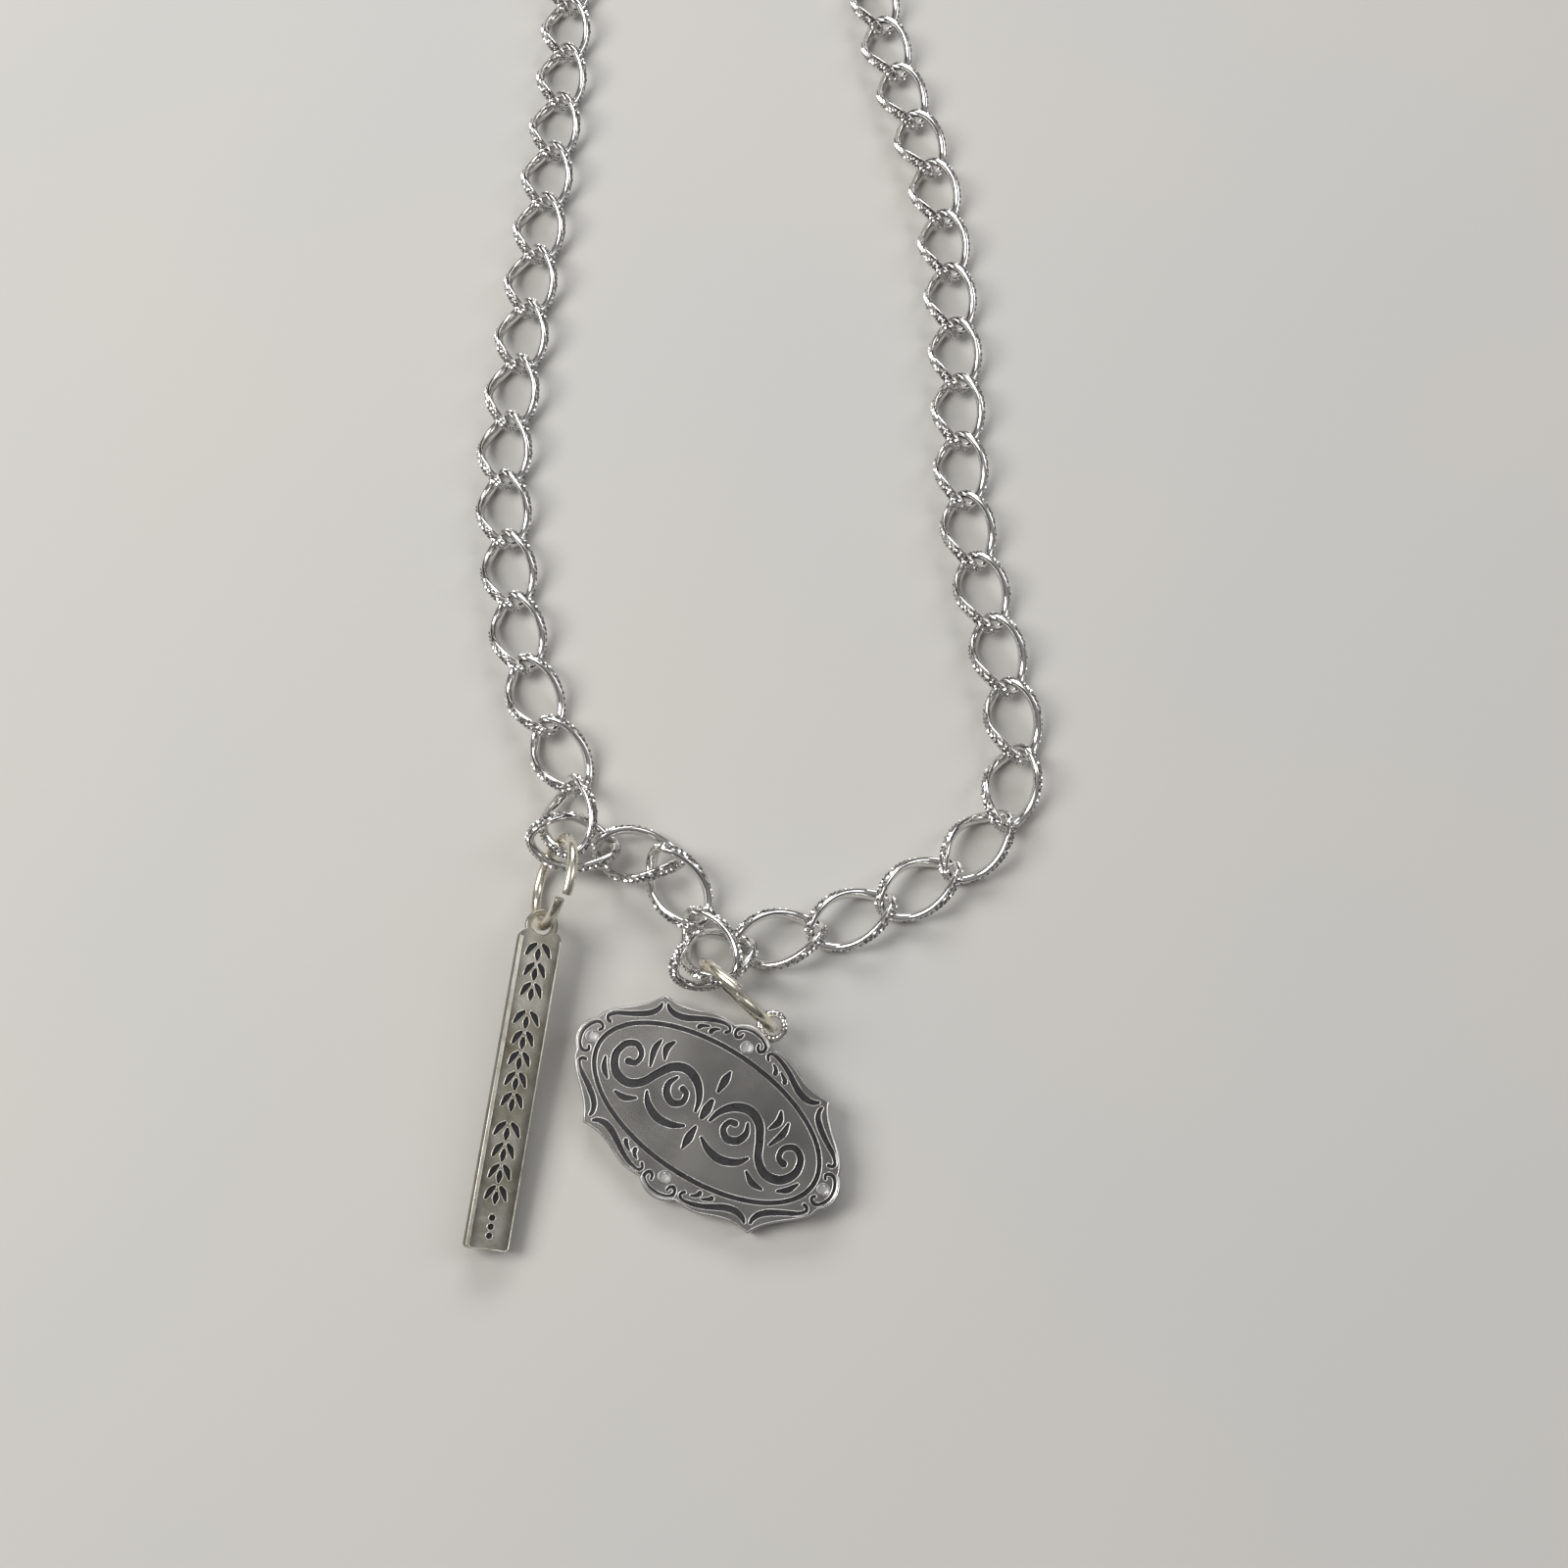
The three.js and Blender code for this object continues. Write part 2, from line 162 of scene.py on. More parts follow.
def metal(name, light, dark, roughness, patches=400.0, scratches=2500.0, bump=0.04,
          grain=(1, 1, 1), frame_of_piece=Matrix.Identity(4)):
    """A worn metal. Its colour and gloss vary in patches, and fine scratches cross it, which a
    small grain draws out along that axis. patches and scratches are the scales of their noises."""
    material, nodes, links = new_material(name)
    shader = nodes["Principled BSDF"]
    place = place_in(nodes, links, frame_of_piece)
    blend = noise_ramp(nodes, links, place, patches, 0.0, 1.0)
    links.new(mixed(nodes, links, blend, dark, light), shader.inputs["Base Color"])
    low, high = (roughness * share for share in GLOSS_RANGE)
    gloss = noise_ramp(nodes, links, place, patches * GLOSS_PATCHES, low, high)
    links.new(gloss, shader.inputs["Roughness"])
    height = noise_ramp(nodes, links, place, scratches, 0.0, 1.0, stretch=grain)
    relief = nodes.new("ShaderNodeBump")
    relief.inputs["Strength"].default_value = bump
    relief.inputs["Distance"].default_value = RELIEF_DEPTH
    links.new(height, relief.inputs["Height"])
    links.new(relief.outputs["Normal"], shader.inputs["Normal"])
    shader.inputs["Metallic"].default_value = 1.0
    return material


def darken_towards_edges(material, frame_of_piece, half_width, clean, share):
    """Grime along the two long edges of a strip that lies along its own X axis. The strip is clean
    out to one distance from its middle line, and keeps only a share of its colour at its edges."""
    nodes, links = material.node_tree.nodes, material.node_tree.links
    colour = nodes["Principled BSDF"].inputs["Base Color"]
    plain = colour.links[0].from_socket
    across = nodes.new("ShaderNodeSeparateXYZ")
    links.new(place_in(nodes, links, frame_of_piece), across.inputs["Vector"])
    distance = nodes.new("ShaderNodeMath")
    distance.operation = "ABSOLUTE"
    links.new(across.outputs["Y"], distance.inputs[0])
    ramp = nodes.new("ShaderNodeMapRange")
    ramp.interpolation_type = "SMOOTHSTEP"
    set_range(ramp, (clean * MM, half_width * MM), (1.0, share))
    links.new(distance.outputs["Value"], ramp.inputs["Value"])
    scaled = nodes.new("ShaderNodeVectorMath")
    scaled.operation = "SCALE"
    links.new(plain, scaled.inputs[0])
    links.new(ramp.outputs["Result"], scaled.inputs["Scale"])
    links.new(scaled.outputs["Vector"], colour)


def enamel(name, colour, roughness):
    """Black antiquing in a groove: uneven, half glossy."""
    material, nodes, links = new_material(name)
    shader = nodes["Principled BSDF"]
    place = nodes.new("ShaderNodeTexCoord").outputs["Object"]
    tone = noise_ramp(nodes, links, place, 900.0, 0.6, 1.6)
    scaled = nodes.new("ShaderNodeVectorMath")
    scaled.operation = "SCALE"
    scaled.inputs[0].default_value = colour
    links.new(tone, scaled.inputs["Scale"])
    links.new(scaled.outputs["Vector"], shader.inputs["Base Color"])
    gloss = noise_ramp(nodes, links, place, 2000.0, roughness * 0.7, roughness * 1.4)
    links.new(gloss, shader.inputs["Roughness"])
    shader.inputs["Metallic"].default_value = 0.0
    return material


def crystal_material():
    material, nodes, _ = new_material("crystal_clear")
    shader = nodes["Principled BSDF"]
    shader.inputs["Base Color"].default_value = (0.97, 0.98, 1.0, 1)
    shader.inputs["Roughness"].default_value = 0.02
    shader.inputs["IOR"].default_value = 1.8
    shader.inputs["Transmission Weight"].default_value = 0.85
    return material


def paper_material():
    material, nodes, links = new_material("paper")
    shader = nodes["Principled BSDF"]
    place = nodes.new("ShaderNodeTexCoord").outputs["Object"]
    blend = noise_ramp(nodes, links, place, 22.0, 0.0, 1.0, detail=1.0)
    paper = mixed(nodes, links, blend, (0.655, 0.638, 0.61), (0.635, 0.63, 0.613))
    links.new(paper, shader.inputs["Base Color"])
    shader.inputs["Roughness"].default_value = 0.7
    return material


CHAIN_SMOOTH = metal("chain_polished", (0.90, 0.89, 0.88), (0.74, 0.73, 0.72), 0.12, patches=500)
CHAIN_FACETS = metal("chain_engraved", (0.92, 0.91, 0.90), (0.46, 0.45, 0.44), 0.14, patches=1500)
CHAMPAGNE = metal("ring_champagne", (0.90, 0.86, 0.75), (0.76, 0.71, 0.60), 0.27, patches=500)
BAR_SIDE = metal("bar_side", (0.74, 0.70, 0.58), (0.56, 0.52, 0.42), 0.30, patches=300, bump=0.08)
BAR_EDGE = metal("bar_polished_edge", (0.93, 0.90, 0.82), (0.66, 0.62, 0.52), 0.34, patches=900)
PLAQUE_EDGE = metal("plaque_polished_edge", (0.93, 0.92, 0.91), (0.66, 0.65, 0.64), 0.30)
PLAQUE_BORDER = metal("plaque_border", (0.58, 0.57, 0.56), (0.46, 0.45, 0.44), 0.32, bump=0.06)
BLACK = enamel("groove_black", (0.022, 0.021, 0.024), 0.35)
CRYSTAL = crystal_material()
CLASP_METAL = metal("clasp_polished", (0.88, 0.87, 0.86), (0.74, 0.73, 0.72), 0.12)


# ---- Frames of the CAD pieces ----

def corners(node):
    """Corner points of a CAD node's mesh, in millimetres."""
    return np.array([vertex.co for vertex in frame["nodes"][node].data.vertices]) / MM


def matrix_from(x_axis, y_axis, z_axis, middle):
    """A placing matrix, in metres, for a piece whose own frame is in metres too."""
    matrix = Matrix((x_axis, y_axis, z_axis)).transposed().to_4x4()
    matrix.translation = Vector(middle) * MM
    return matrix


def long_flat_frame(node):
    """Middle, long axis as X, and thinnest direction as Z, for a piece with two-way symmetry."""
    points = corners(node)
    middle = points.mean(0)
    _, axes = np.linalg.eigh(np.cov((points - middle).T))
    x_axis = Vector(axes[:, 2]).normalized()
    z_axis = Vector(axes[:, 0]).normalized()
    if z_axis.z < 0:
        z_axis.negate()
    return matrix_from(x_axis, z_axis.cross(x_axis), z_axis, middle)


def node_middle(node):
    low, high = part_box(node)
    return (low + high) / 2 / MM


def joint_point(name):
    return Vector(JOINTS[name]["pos_m"]) / MM


def joint_axis(name):
    return Vector(JOINTS[name]["axis"]).normalized()


BODY_OF = {node: body for body, nodes in frame["record"]["behaviour"]["bodies"].items() for node in nodes}


# ---- Mesh helpers ----

def mesh_object(name, points, faces, materials, face_material=None, smooth=True, angle=None):
    """A mesh from points in millimetres."""
    mesh = bpy.data.meshes.new(name)
    mesh.from_pydata([Vector(point) * MM for point in points], [], faces)
    for material in materials:
        mesh.materials.append(material)
    mesh.polygons.foreach_set("use_smooth", [bool(smooth)] * len(mesh.polygons))
    if face_material:
        mesh.polygons.foreach_set("material_index", [face_material(i) for i in range(len(faces))])
    if angle is not None:
        mesh.set_sharp_from_angle(angle=math.radians(angle))
    piece = bpy.data.objects.new(name, mesh)
    bpy.context.scene.collection.objects.link(piece)
    return piece


def recalculate_outward(mesh):
    work = bmesh.new()
    work.from_mesh(mesh)
    bmesh.ops.recalc_face_normals(work, faces=work.faces)
    work.to_mesh(mesh)
    work.free()


def stand_in(piece, matrix, node):
    """Places a piece, and lets it stand for a CAD node and move with that node's body. Its place
    goes into its mesh, so that its box is as tight as the CAD's."""
    piece.data.transform(matrix)
    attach(piece, BODY_OF[node])
    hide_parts(node)


def ride_along(piece, matrix, body):
    """Places a piece that the CAD doesn't have, and lets it move with a body."""
    piece.data.transform(matrix)
    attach(piece, body)


def shifted(x, y, z):
    """The matrix of a shift in millimetres."""
    return Matrix.Translation(Vector((x, y, z)) * MM)


def full_turn(steps):
    """The angles of points spread evenly round a circle."""
    return [2 * math.pi * i / steps for i in range(steps)]


# ---- Chain ----

def scatter(i, j):
    """A fixed pseudo-random number between 0 and 1 for each grid cell."""
    value = math.sin(i * 12.9898 + j * 78.233) * 43758.5453
    return value - math.floor(value)


def link_middle(angle):
    """The middle of a link's wire: an oval whose two ends lean opposite ways."""
    lean = LINK_TWIST * math.cos(angle)
    across = LINK_HALF_WIDTH * math.sin(angle)
    return Vector((LINK_HALF_LENGTH * math.cos(angle), -across * math.cos(lean), across * math.sin(lean)))


def link_section(step):
    """Middle, outward and upward directions of the wire at one of its steps."""
    angle = 2 * math.pi * step / LINK_STEPS
    middle = link_middle(angle)
    tangent = (link_middle(angle + 0.01) - link_middle(angle - 0.01)).normalized()
    lean = LINK_TWIST * math.cos(angle)
    upward = Vector((0, math.sin(lean), math.cos(lean)))
    upward = (upward - tangent * upward.dot(tangent)).normalized()
    outward = tangent.cross(upward)
    if outward.dot(middle) < 0:
        outward.negate()
    return middle, outward, upward


def link_mesh():
    """One link: its wire is smooth inside and cut into rows of small diamonds outside. A face's
    kind is 0 for smooth and 1 for cut."""
    rows = FACET_ROWS + SMOOTH_ROWS
    points = []
    for step in range(LINK_STEPS):
        middle, outward, upward = link_section(step)
        for row in range(rows):
            if row <= FACET_ROWS:
                turn = math.radians(FACET_SPREAD * (2 * row / FACET_ROWS - 1))
            else:
                rest = 360 - 2 * FACET_SPREAD
                turn = math.radians(FACET_SPREAD + rest * (row - FACET_ROWS) / SMOOTH_ROWS)
            out = WIRE_DEPTH * math.cos(turn)
            up = WIRE_HEIGHT * math.sin(turn)
            if 0 < row < FACET_ROWS:
                peak = 1 if (step + row) % 2 == 0 else -1
                size = peak * (FACET_LEAST + FACET_EXTRA * scatter(step, row))
                grow = 1 + FACET_DEPTH * (size - FACET_LEAST - FACET_EXTRA) / WIRE_DEPTH
                out *= grow
                up *= grow
            point = middle + outward * out + upward * up
            point.z = max(point.z, -LINK_FLOOR)
            points.append(point)
    faces = []
    kinds = []
    for step in range(LINK_STEPS):
        here = step * rows
        there = ((step + 1) % LINK_STEPS) * rows
        for row in range(rows):
            after = (row + 1) % rows
            a, b, c, d = here + row, here + after, there + after, there + row
            if row >= FACET_ROWS:
                faces.append((a, b, c, d))
                kinds.append(0)
                continue
            faces += [(a, b, d), (b, c, d)] if (step + row) % 2 == 0 else [(a, b, c), (a, c, d)]
            kinds += [1, 1]
    piece = mesh_object("chain_link", points, faces, (CHAIN_SMOOTH, CHAIN_FACETS), lambda i: kinds[i])
    mesh = piece.data
    recalculate_outward(mesh)
    mesh.polygons.foreach_set("use_smooth", [polygon.material_index == 0 for polygon in mesh.polygons])
    bpy.data.objects.remove(piece)
    return mesh


LINK_MESH = link_mesh()


def place_link(name, matrix, node):
    piece = bpy.data.objects.new(name, LINK_MESH.copy())
    bpy.context.scene.collection.objects.link(piece)
    stand_in(piece, matrix, node)


def flat_link_frame(start, end, height):
    """Frame of a link that lies flat between two junctions."""
    x_axis = Vector((end.x - start.x, end.y - start.y, 0)).normalized()
    z_axis = Vector((0, 0, 1))
    middle = (start + end) / 2
    return matrix_from(x_axis, z_axis.cross(x_axis), z_axis, (middle.x, middle.y, height))


def heading_of(way):
    return math.atan2(way.y, way.x)


def bend_between(start, end, before):
    """Junctions of three links between two ends, all bent by the same angle. Of the two ways
    to bend, it takes the one that leaves the link before more nearly straight."""
    span = end - start
    span.z = 0
    bend = math.acos(max(-1.0, min(1.0, (span.length / LINK_PITCH - 1) / 2)))
    heading = heading_of(span)

    def off_course(turn):
        return abs(math.remainder(heading - turn - before, 2 * math.pi))

    best = min((bend, -bend), key=off_course)
    stops = [start]
    for k in (-1, 0, 1):
        way = heading + k * best
        stops.append(stops[-1] + Vector((math.cos(way), math.sin(way), 0)) * LINK_PITCH)
    return stops


# Each side of the loop: its last single link, and the ring after its three runs of three links
SIDES = (("left", "link_left_15", "clasp_ring"), ("right", "link_right_20", "end_ring"))


def build_chain():
    for node in BODY_OF:
        if node.startswith("link_"):
            place_link("visual_" + node, long_flat_frame(node), node)
    for side, last_link, ring in SIDES:
        runs = [f"segment_{side}_{i}" for i in (1, 2, 3)]
        height = long_flat_frame(last_link).translation.z / MM
        ends = [joint_point(run + "_flex") for run in runs] + [joint_point(ring + "_swing")]
        heading = heading_of(ends[0] - joint_point(last_link + "_flex"))
        for run, start, end in zip(runs, ends, ends[1:]):
            stops = bend_between(start, end, heading)
            for k, letter in enumerate("abc"):
                place_link(f"visual_{run}_{letter}", flat_link_frame(stops[k], stops[k + 1], height), run)
            heading = heading_of(stops[3] - stops[2])


# ---- Rings ----

SHARP_ANGLE = 50                  # degrees: a steeper edge of a wire isn't smoothed over


def tube(name, middles, directions, radius, sides, material, closed=True, ripple=None, smooth=True):
    """A round wire through points. directions gives two crosswise unit vectors at each point, and
    ripple gives the wire's size at each step and side, as a share of its radius."""
    points = []
    for i, (middle, (first, second)) in enumerate(zip(middles, directions)):
        for k, turn in enumerate(full_turn(sides)):
            size = radius * (ripple(i, k) if ripple else 1)
            points.append(middle + first * (size * math.cos(turn)) + second * (size * math.sin(turn)))
    faces = []
    count = len(middles)
    for i in range(count if closed else count - 1):
        j = (i + 1) % count
        for k in range(sides):
            after = (k + 1) % sides
            faces.append((i * sides + k, j * sides + k, j * sides + after, i * sides + after))
    if not closed:
        faces.append(tuple(range(sides)))
        faces.append(tuple((count - 1) * sides + k for k in reversed(range(sides))))
    piece = mesh_object(name, points, faces, (material,), smooth=smooth, angle=SHARP_ANGLE)
    recalculate_outward(piece.data)
    return piece


def circle_frames(radius, angles, climb=lambda share: 0.0):
    """Points of a circle, and the radial and axial directions at each. climb gives a point's
    height from its share of the way round."""
    middles = []
    directions = []
    for i, angle in enumerate(angles):
        radial = Vector((math.cos(angle), math.sin(angle), 0))
        middles.append(radial * radius + Vector((0, 0, climb(i / (len(angles) - 1)))))
        directions.append((radial, Vector((0, 0, 1))))
    return middles, directions


def jump_ring_frame(node, axis):
    """Frame of a cut ring, with its cut on +X: the middle from a circle fitted to its corners."""
    points = corners(node)
    z_axis = axis
    x_axis = axis.orthogonal().normalized()
    y_axis = z_axis.cross(x_axis)
    flat = np.array([[Vector(point).dot(x_axis), Vector(point).dot(y_axis)] for point in points])
    fit, *_ = np.linalg.lstsq(np.c_[2 * flat, np.ones(len(flat))], (flat ** 2).sum(1), rcond=None)
    middle = x_axis * fit[0] + y_axis * fit[1] + z_axis * float((points @ np.array(z_axis)).mean())
    turns = np.sort(np.arctan2(flat[:, 1] - fit[1], flat[:, 0] - fit[0]))
    gaps = np.diff(np.append(turns, turns[0] + 2 * math.pi))
    widest = int(gaps.argmax())
    cut = turns[widest] + gaps[widest] / 2
    cut_axis = x_axis * math.cos(cut) + y_axis * math.sin(cut)
    return matrix_from(cut_axis, z_axis.cross(cut_axis), z_axis, middle)


def build_jump_ring(node, joint):
    cut = RING_CUT / RING_RADIUS / 2
    angles = [cut + (2 * math.pi - 2 * cut) * i / RING_STEPS for i in range(RING_STEPS + 1)]
    middles, directions = circle_frames(RING_RADIUS, angles, lambda share: RING_OFFSET * (share - 0.5))

    def taper(i, _):
        from_end = min(i, RING_STEPS - i)
        return 1 - RING_END_WEAR * max(0, 2 - from_end)

    ring = tube("visual_" + node, middles, directions, RING_WIRE, RING_SIDES, CHAMPAGNE, False, taper)
    stand_in(ring, jump_ring_frame(node, joint_axis(joint)), node)


def build_small_ring(node):
    middles, directions = circle_frames(SMALL_RING_RADIUS, full_turn(SMALL_RING_STEPS))
    ring = tube("visual_" + node, middles, directions, SMALL_RING_WIRE, SMALL_RING_SIDES, CLASP_METAL)
    stand_in(ring, long_flat_frame(node), node)


build_chain()
build_jump_ring("jump_ring_bar", "bar_ring_swing")
build_jump_ring("jump_ring_plaque", "plaque_ring_swing")
build_small_ring("clasp_ring")
build_small_ring("end_ring")


# ---- Flat plates with engraved grooves ----

CAP_STEPS = 7                     # of half a circle, round a stroke's end
BEAD_SIDES = 6
BEAD_SHIFT = 0.9                  # of a bead's radius, between its middle and the groove's edge
SAME_POINT = 0.01                 # points nearer than this are one
FLAT_FACE = 0.98                  # a plate's face is flat when its normal is this upright


def smooth_path(points, per_span=7):
    """A smooth curve through (x, y, width) points."""
    padded = [points[0], *points, points[-1]]
    path = []
    for i in range(1, len(padded) - 2):
        before, start, end, after = (np.array(padded[k], float) for k in (i - 1, i, i + 1, i + 2))
        for step in range(per_span):
            t = step / per_span
            path.append(0.5 * (2 * start + (end - before) * t
                               + (2 * before - 5 * start + 4 * end - after) * t ** 2
                               + (3 * start - before - 3 * end + after) * t ** 3))
    path.append(np.array(points[-1], float))
    return path


def stroke(points, weight=1.0):
    """The outline of a pen stroke through (x, y, width) points, with round ends."""
    path = smooth_path([(x, y, width * weight) for x, y, width in points])
    left = []
    right = []
    for i, here in enumerate(path):
        way = path[min(i + 1, len(path) - 1)][:2] - path[max(i - 1, 0)][:2]
        way /= np.linalg.norm(way)
        side = np.array((-way[1], way[0])) * here[2] / 2
        left.append(here[:2] + side)
        right.append(here[:2] - side)
    caps = []
    for end, begin in ((path[-1], left[-1]), (path[0], right[0])):
        arm = begin - end[:2]
        turns = [math.pi * k / CAP_STEPS for k in range(1, CAP_STEPS)]
        caps.append([end[:2] + np.array((arm[0] * math.cos(turn) + arm[1] * math.sin(turn),
                                         arm[1] * math.cos(turn) - arm[0] * math.sin(turn)))
                     for turn in turns])
    return [tuple(p) for p in (*left, *caps[0], *reversed(right), *caps[1])]


def mirrored(outline, flip_x=1, flip_y=1):
    return [(x * flip_x, y * flip_y) for x, y in outline]


def four_ways(outline):
    """The outline and its mirror images in the other three quarters."""
    return [mirrored(outline, x, y) for x in (1, -1) for y in (1, -1)]


def oval(radius_x, radius_y, middle=(0, 0), steps=64):
    return [(middle[0] + radius_x * math.cos(2 * math.pi * k / steps),
             middle[1] + radius_y * math.sin(2 * math.pi * k / steps)) for k in range(steps)]


def rounded_box(left, right, half_width, radius_left, radius_right, steps=6):
    """A box with its corners rounded, in plan."""
    box_corners = ((right, 1, radius_right), (left, 1, radius_left),
                   (left, -1, radius_left), (right, -1, radius_right))
    outline = []
    for quarter, (x, sign, radius) in enumerate(box_corners):
        centre = (x + (radius if x == left else -radius), sign * (half_width - radius))
        for k in range(steps + 1):
            turn = math.pi / 2 * (quarter + k / steps)
            outline.append((centre[0] + radius * math.cos(turn), centre[1] + radius * math.sin(turn)))
    return outline


def without_repeats(outline):
    """The outline without points that lie on the one before."""
    before = [outline[-1], *outline[:-1]]
    return [point for point, last in zip(outline, before) if math.dist(point, last) > SAME_POINT]


def plate(name, outlines, low, high, bevel, face_material, edge_material):
    """A flat plate between two heights. Outlines that lie inside others are cut through it, and
    every edge is rounded over. The bevels take the edge material."""
    curve = bpy.data.curves.new(name, "CURVE")
    curve.dimensions = "2D"
    curve.fill_mode = "BOTH"
    curve.extrude = (high - low) / 2 - bevel
    curve.bevel_depth = bevel
    curve.bevel_resolution = 2
    curve.offset = -bevel
    for outline in map(without_repeats, outlines):
        spline = curve.splines.new("POLY")
        spline.points.add(len(outline) - 1)
        spline.points.foreach_set("co", [c for x, y in outline for c in (x, y, 0, 1)])
        spline.use_cyclic_u = True
    maker = bpy.data.objects.new(name, curve)
    bpy.context.scene.collection.objects.link(maker)
    bpy.context.view_layer.update()
    mesh = bpy.data.meshes.new_from_object(maker.evaluated_get(bpy.context.evaluated_depsgraph_get()))
    bpy.data.objects.remove(maker)
    work = bmesh.new()
    work.from_mesh(mesh)
    bmesh.ops.remove_doubles(work, verts=work.verts, dist=1e-5)
    bmesh.ops.translate(work, verts=work.verts, vec=(0, 0, (low + high) / 2))
    bmesh.ops.recalc_face_normals(work, faces=work.faces)
    for face in work.faces:
        face.material_index = 0 if abs(face.normal.z) > FLAT_FACE else 1
        face.smooth = face.material_index == 1
    work.to_mesh(mesh)
    work.free()
    mesh.transform(Matrix.Scale(MM, 4))
    mesh.materials.clear()
    mesh.materials.append(face_material)
    mesh.materials.append(edge_material)
    piece = bpy.data.objects.new(name, mesh)
    bpy.context.scene.collection.objects.link(piece)
    return piece


def signed_area(outline):
    return sum(a[0] * b[1] - b[0] * a[1] for a, b in zip(outline, [*outline[1:], outline[0]])) / 2


def beads(name, outside, inside, radius, height, material):
    """The polished lips of engraved grooves: a thin round bead along each outline, in one mesh.
    Beads lie just outside the first outlines and just inside the others."""
    points = []
    faces = []
    for outline, away in [(o, 1) for o in outside] + [(o, -1) for o in inside]:
        outline = without_repeats(outline)
        shift = -away * math.copysign(BEAD_SHIFT * radius, signed_area(outline))
        first = len(points)
        count = len(outline)
        for i, (x, y) in enumerate(outline):
            before, after = outline[i - 1], outline[(i + 1) % count]
            way = Vector((after[0] - before[0], after[1] - before[1])).normalized()
            for turn in full_turn(BEAD_SIDES):
                out = shift + radius * math.cos(turn)
                points.append((x - way.y * out, y + way.x * out, height + radius * math.sin(turn)))
        for i in range(count):
            here, there = first + i * BEAD_SIDES, first + (i + 1) % count * BEAD_SIDES
            for k in range(BEAD_SIDES):
                after = (k + 1) % BEAD_SIDES
                faces.append((here + k, there + k, there + after, here + after))
    piece = mesh_object(name, points, faces, (material,))
    recalculate_outward(piece.data)
    return piece


# ---- Plaque charm ----

# Heights are from the middle of the plaque's thickness
FACE_FLOOR = 0.45                 # where the engraved top layer starts
ENAMEL_HEIGHT = 0.66
SHOULDER_FLOOR = 0.35             # of the rounded shoulder around the engraved layer
SHOULDER_HEIGHT = 0.74
SINK = 0.02                       # how far the layers run into each other
PLAQUE_BEVEL = 0.14
THIN_BEVEL = 0.02                 # of the layers whose edges are hidden
GROOVE_BEVEL = 0.09
LIP_RADIUS = 0.055                # the polished lips along the grooves
LIP_RISE = 0.03                   # above the face
FACE_SHRINK = (0.992, 0.987)      # the face's and the shoulder's inner size, along and across, as
SHOULDER_SHRINK = (0.965, 0.945)  # shares of the plaque's

CRYSTAL_SPOTS = {"right": (13.0, 0), "top": (0, 7.0), "left": (-13.0, 0), "bottom": (0, -7.0)}
CRYSTAL_RINGS = ((0.35, 0.62, 0.0), (0.21, 1.0, 0.5), (0.112, 1.0, 0.5), (-0.245, 0.25, 0.5))
CRYSTAL_SIDES = 8
CRYSTAL_DROP = 0.18               # its middle, below the plaque's face
SEAT_STEPS = 24
BEZEL_RADIUS = 0.56
BEZEL_WIRE = 0.09
BEZEL_STEPS = 32
BEZEL_SIDES = 10
BEZEL_DROP = 0.08
CUP_HEIGHT = 0.12

PLAQUE_EYE_RADIUS = 1.2
PLAQUE_EYE_WIRE = 0.34
PLAQUE_EYE_STEPS = 72
PLAQUE_EYE_SIDES = 14
PLAQUE_EYE_RIPPLE = 0.1

# One quarter of the border's grooves, as (x, y, width). The other quarters mirror it
BORDER_GROOVES = (
    [(8.45, 6.36, .26), (8.05, 6.10, .42), (7.3, 5.98, .54), (6.4, 6.20, .56), (5.5, 6.68, .50),
     (4.6, 7.20, .42), (3.7, 7.58, .36), (2.9, 7.80, .32), (2.42, 7.79, .27), (2.14, 7.46, .23),
     (2.40, 7.12, .26)],
    [(3.62, 6.44, .44), (3.56, 6.64, .38), (3.34, 6.88, .28), (3.04, 7.04, .15)],
    [(4.80, 6.22, .42), (4.70, 6.38, .36), (4.50, 6.52, .30), (4.26, 6.66, .22), (4.04, 6.78, .14)],
    [(8.98, 6.10, .26), (8.96, 5.70, .38), (9.20, 5.12, .48), (9.78, 4.54, .50), (10.55, 4.02, .46),
     (11.4, 3.52, .40), (12.26, 3.04, .36), (12.70, 2.54, .32), (12.58, 2.16, .28), (12.26, 2.08, .28)],
)
# Half of a lobe's scroll, from its curl to the lobe's middle, as (along the lobe, up it, width)
LOBE_SCROLL = [(0.90, 7.80, .24), (0.98, 7.48, .28), (1.30, 7.32, .30), (1.58, 7.56, .30),
               (1.58, 7.98, .32), (1.22, 8.34, .34), (0.66, 8.56, .36), (0, 8.64, .38)]
END_SCROLL = [(0.90, 12.68, .24), (1.16, 12.52, .26), (1.44, 12.70, .28), (1.50, 13.10, .30),
              (1.22, 13.52, .32), (0.72, 13.82, .34), (0, 13.98, .36)]
GROOVE_OVAL = (12.0, 6.02, 0.42)  # half its length and width, and the groove's width
OVAL_STEPS = 160
BORDER_WEIGHT = 1.06
FLOURISH_WEIGHT = 1.22

